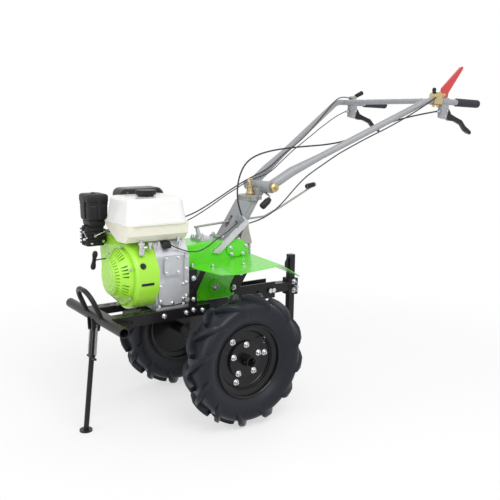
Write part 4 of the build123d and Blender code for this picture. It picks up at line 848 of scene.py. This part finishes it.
# Grips: moulded black rubber sleeves with rings round them and a flange at the front, pushed on the
# ends of the handlebars.
grip_rubber = finish(
    "grip_rubber", (0.013, 0.013, 0.020), (0.022, 0.022, 0.032), 0.58, mottle=30.0, grain=1200.0, bump=0.3,
)
bar_y = 263
bar_line = (-1, 0, -0.0225)
ring_count, ring_pitch = 18, 6.6
for side, hand in (("left", 1), ("right", -1)):
    sleeve = bmesh.new()
    front = at(-1022, hand * bar_y, 1139.1)
    back = Vector(bar_line).normalized()
    # distance along the grip, radius
    rings = [(0.0, 16.4), (3.0, 16.5), (5.0, 15.2)]
    for turn in range(ring_count):
        begin = turn * ring_pitch
        rings += [(8.0 + begin, 15.2), (10.0 + begin, 16.3), (13.0 + begin, 16.3), (14.4 + begin, 15.2)]
    rings += [(130.0, 16.5), (136.0, 16.0), (138.8, 12.0)]
    outline = [sleeve.verts.new(front + back * d / 1000 + Vector((0, 0, r / 1000))) for d, r in rings]
    outline.insert(0, sleeve.verts.new(front + Vector((0, 0, 0.0127))))
    outline.append(sleeve.verts.new(front + back * 0.1388))
    profile = [sleeve.edges.new(pair) for pair in zip(outline, outline[1:])]
    bmesh.ops.spin(
        sleeve, geom=outline + profile, cent=front, axis=back, angle=2 * pi, steps=32, use_merge=True,
    )
    bmesh.ops.remove_doubles(sleeve, verts=sleeve.verts, dist=0.00001)
    grip = piece(f"grip_{side}", sleeve, grip_rubber, "handlebars", smooth=30.0)
    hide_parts("grips")

# Hand levers: a black pressed lever under each handlebar, on two plated rivets in a grey clamp
# bracket, with the cable's plated adjuster and lock nut screwed into the bracket's front.


def plate(mesh, outline, y, thickness):
    """A flat plate cut to an outline of x and z and centred on y, in millimetres."""
    raised(mesh, [at(x, y - thickness / 2, z) for x, z in outline], (0, thickness / 1000, 0))


bracket_outline = [(-926, 1130), (-966, 1130), (-968, 1112), (-955, 1071), (-925, 1078)]
lever_outline = [
    (-946, 1108), (-975, 1112), (-990, 1092), (-1016, 1082), (-1060, 1068), (-1086, 1044), (-1110, 1031),
    (-1122, 1024), (-1118, 1012), (-1104, 1014), (-1080, 1026), (-1054, 1050), (-1012, 1064), (-978, 1066),
    (-960, 1074),
]
adjuster_line = (-1, 0, 0.12)
for side, hand in (("left", 1), ("right", -1)):
    lever_y = hand * bar_y
    bracket = bmesh.new()
    turned(bracket, at(-926, lever_y, 1141.3), bar_line, 16, 42)
    plate(bracket, bracket_outline, lever_y, 20)
    clamp = piece(f"lever_bracket_{side}", bracket, silver_grey, "handlebars", smooth=30.0)
    lever = bmesh.new()
    plate(lever, lever_outline, lever_y, 12)
    tip = Matrix.Translation(at(-1119, lever_y, 1018))
    bmesh.ops.create_uvsphere(lever, u_segments=20, v_segments=12, radius=0.008, matrix=tip)
    blade = piece(f"hand_lever_{side}", lever, stoved_black, "handlebars", smooth=30.0)
    fixings = bmesh.new()
    for x, z in ((-958, 1104), (-946, 1083)):
        turned(fixings, at(x, lever_y - 12.5, z), (0, 1, 0), 4, 25)
    turned(fixings, at(-905, lever_y, 1101), adjuster_line, 4.5, 34)
    turned(fixings, at(-914, lever_y, 1102.1), adjuster_line, 7.5, 5, segments=6)
    pins = piece(f"lever_fixings_{side}", fixings, bright_zinc, "handlebars", smooth=30.0)
    for made in (clamp, blade, pins):
        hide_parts("hand_levers")

# Turn lever: a red pressed lever on a yellow plated drum that a band holds to the left handlebar,
# with a pivot screw, a black stop knob on top and two nuts below.
# The paler red on its edges is a painted highlight.
red_paint = finish(
    "red_paint", (0.62, 0.018, 0.020), (0.50, 0.012, 0.014), 0.30, coat=0.5, mottle=12.0,
    grain=600.0, edge=0.3, edge_wear_and_highlight_colour=(0.75, 0.25, 0.22),
)
drum = bmesh.new()
turned(drum, at(-872, bar_y, 1142.5), bar_line, 17, 50)
turned(drum, at(-897, bar_y - 17, 1158), (0, 1, 0), 20, 34)
turned(drum, at(-905, bar_y, 1164), (-1, 0, 0), 9, 32)
for x in (-886, -910):
    bolt(drum, at(x, bar_y, 1126), (0, 0, -1), 10, 2)
bolt(drum, at(-940, bar_y + 4, 1166), (0, 1, 0), 10, 2)
turn_drum = piece("turn_lever_drum", drum, yellow_zinc, "handlebars", smooth=30.0)
red_lever = bmesh.new()
red_outline = (
    (-924, 1158), (-962, 1152), (-968, 1176), (-1047, 1271), (-1050, 1279), (-1043, 1282), (-1033, 1279),
    (-928, 1192),
)
plate(red_lever, red_outline, bar_y, 8)
turn_blade = piece("turn_lever_blade", red_lever, red_paint, "handlebars", smooth=30.0)
stop_knob = bmesh.new()
turned(stop_knob, at(-885, bar_y, 1174), (0, 0, 1), 7, 14, tip=8)
turned(stop_knob, at(-885, bar_y, 1188), (0, 0, 1), 8, 5, tip=4)
turn_stop = piece("turn_lever_stop", stop_knob, moulded_black, "handlebars", smooth=30.0)
for made in (turn_drum, turn_blade, turn_stop):
    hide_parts("turn_lever")

# Throttle: a thumb lever with a moulded black knob, turning in a plated housing. A plated band holds
# it round the right handlebar.
thumb_line = (-0.92, 0, 0.39)
throttle_band = bmesh.new()
turned(throttle_band, at(-935, -bar_y, 1141.1), bar_line, 17.5, 22)
turned(throttle_band, at(-946, -bar_y - 14, 1160), (0, 1, 0), 12, 28)
band = piece("throttle_band", throttle_band, dull_zinc, "handlebars", smooth=30.0)
thumb_lever = bmesh.new()
turned(thumb_lever, at(-948, -bar_y, 1164), thumb_line, 6, 24, tip=7)
turned(thumb_lever, at(-968, -bar_y, 1173), thumb_line, 9, 38, tip=10)
turned(thumb_lever, at(-1003, -bar_y, 1187.8), thumb_line, 10, 4, tip=6)
thumb = piece("throttle_knob", thumb_lever, moulded_black, "handlebars", smooth=30.0)
for made in (band, thumb):
    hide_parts("throttle")

# Cables: black sheathed control cables, from the levers to the clutch arm, the shift bracket and the
# carburettor, and the engine wire. Those that cross the joints are cut where they pass the head.
sheath_black = finish(
    "sheath_black", (0.010, 0.010, 0.012), (0.016, 0.016, 0.019), 0.40, mottle=60.0, grain=1800.0, bump=0.12,
)


def held_cable(name, route, radius, split=None, low=None, high=None):
    """A cable as one smooth tube, cut in two at the head when a split is given."""
    points = [at(*point) for point in route]
    if split is None:
        whole = tube_mesh(name, points, radius, sides=3)
        cord = piece(name, whole, sheath_black, "root", smooth=60.0)
        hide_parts(name)
        return
    middle = at(*split)
    for label, body, other, near, far, keep_front in (
        ("lower", "root", "head", at(*low), middle, True),
        ("upper", "head", "handlebars", middle, at(*high), False),
    ):
        part = tube_mesh(name, points, radius, sides=3)
        cut = bmesh.ops.bisect_plane(
            part, geom=part.verts[:] + part.edges[:] + part.faces[:], plane_co=middle, plane_no=(1, 0, 0),
            clear_inner=keep_front, clear_outer=not keep_front,
        )
        open_edges = [edge for edge in cut["geom_cut"] if isinstance(edge, bmesh.types.BMEdge)]
        bmesh.ops.holes_fill(part, edges=open_edges, sides=0)
        cord = piece(f"{name}_{label}", part, sheath_black, None, smooth=60.0)
        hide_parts(name)
        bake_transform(cord)


held_cable("clutch_cable", [
    (-904, 263, 1101), (-868, 262, 1096), (-800, 243, 1083), (-735, 208, 1064), (-668, 181, 1037),
    (-600, 156, 1006), (-530, 132, 980), (-458, 112, 968), (-384, 96, 963), (-310, 80, 957),
    (-241, 64, 948), (-178, 52, 932), (-134, 47, 906), (-108, 47, 866), (-94, 50, 822),
    (-92, 53, 778), (-98, 56, 742), (-108.5, 59, 713),
], 3, split=(-200, 56, 940), low=(-108, 59, 713), high=(-480, 118, 970))
held_cable("reverse_cable", [
    (-902.5, 274, 1164), (-874, 281, 1154), (-832, 276, 1128), (-788, 258, 1098), (-735, 231, 1062),
    (-675, 206, 1028), (-615, 185, 999), (-555, 165, 967), (-500, 144, 936), (-456, 126, 904),
    (-416, 111, 876), (-370, 100, 845), (-326, 92, 803), (-284, 85, 758), (-240, 78, 720),
    (-199, 68, 697), (-168, 57, 685), (-146, 50, 679),
], 2.5, split=(-284, 85, 758), low=(-168, 57, 685), high=(-456, 126, 904))
held_cable("throttle_cable", [
    (-934.5, -263, 1161), (-903, -262, 1167), (-845, -250, 1161), (-790, -228, 1131), (-732, -205, 1095),
    (-676, -183, 1058), (-620, -162, 1023), (-562, -141, 991), (-505, -119, 964), (-448, -98, 941),
    (-392, -78, 916), (-338, -58, 888), (-284, -44, 863), (-232, -40, 846), (-182, -42, 825),
    (-130, -41, 800), (-78, -40, 773), (-26, -40, 747), (24, -43, 722), (72, -53, 704),
    (120, -70, 691), (176, -84, 682), (236, -87, 678), (290, -96, 676), (328, -110, 673), (354.9, -122, 669),
], 2.5, split=(-232, -40, 846), low=(-78, -40, 773), high=(-392, -78, 916))
held_cable("stop_cable", [
    (-904, -263, 1101), (-866, -259, 1089), (-812, -247, 1068), (-760, -230, 1046), (-708, -211, 1026),
    (-656, -191, 1003), (-604, -170, 983), (-552, -149, 961), (-500, -127, 942), (-450, -105, 919),
    (-400, -85, 896), (-350, -66, 869), (-300, -49, 849), (-250, -38, 841), (-198, -35, 828),
    (-147, -34, 802), (-96, -35, 777), (-45, -34, 748), (4, -37, 721), (50, -43, 697),
    (94, -54, 681), (140, -66, 670), (190, -75, 666), (240, -80, 665), (288, -88, 667), (330, -103, 667),
    (355.1, -115, 664),
], 2, split=(-232, -36, 837), low=(-96, -35, 777), high=(-400, -85, 896))
held_cable("engine_wire", [
    (207.4, 91, 636), (180, 95, 622), (140, 95, 607), (100, 92, 602), (60, 87, 613), (18, 82, 636),
    (-26, 80, 657), (-60, 67, 672), (-88, 55, 682), (-101, 43, 687), (-103, 30.4, 688),
], 2)
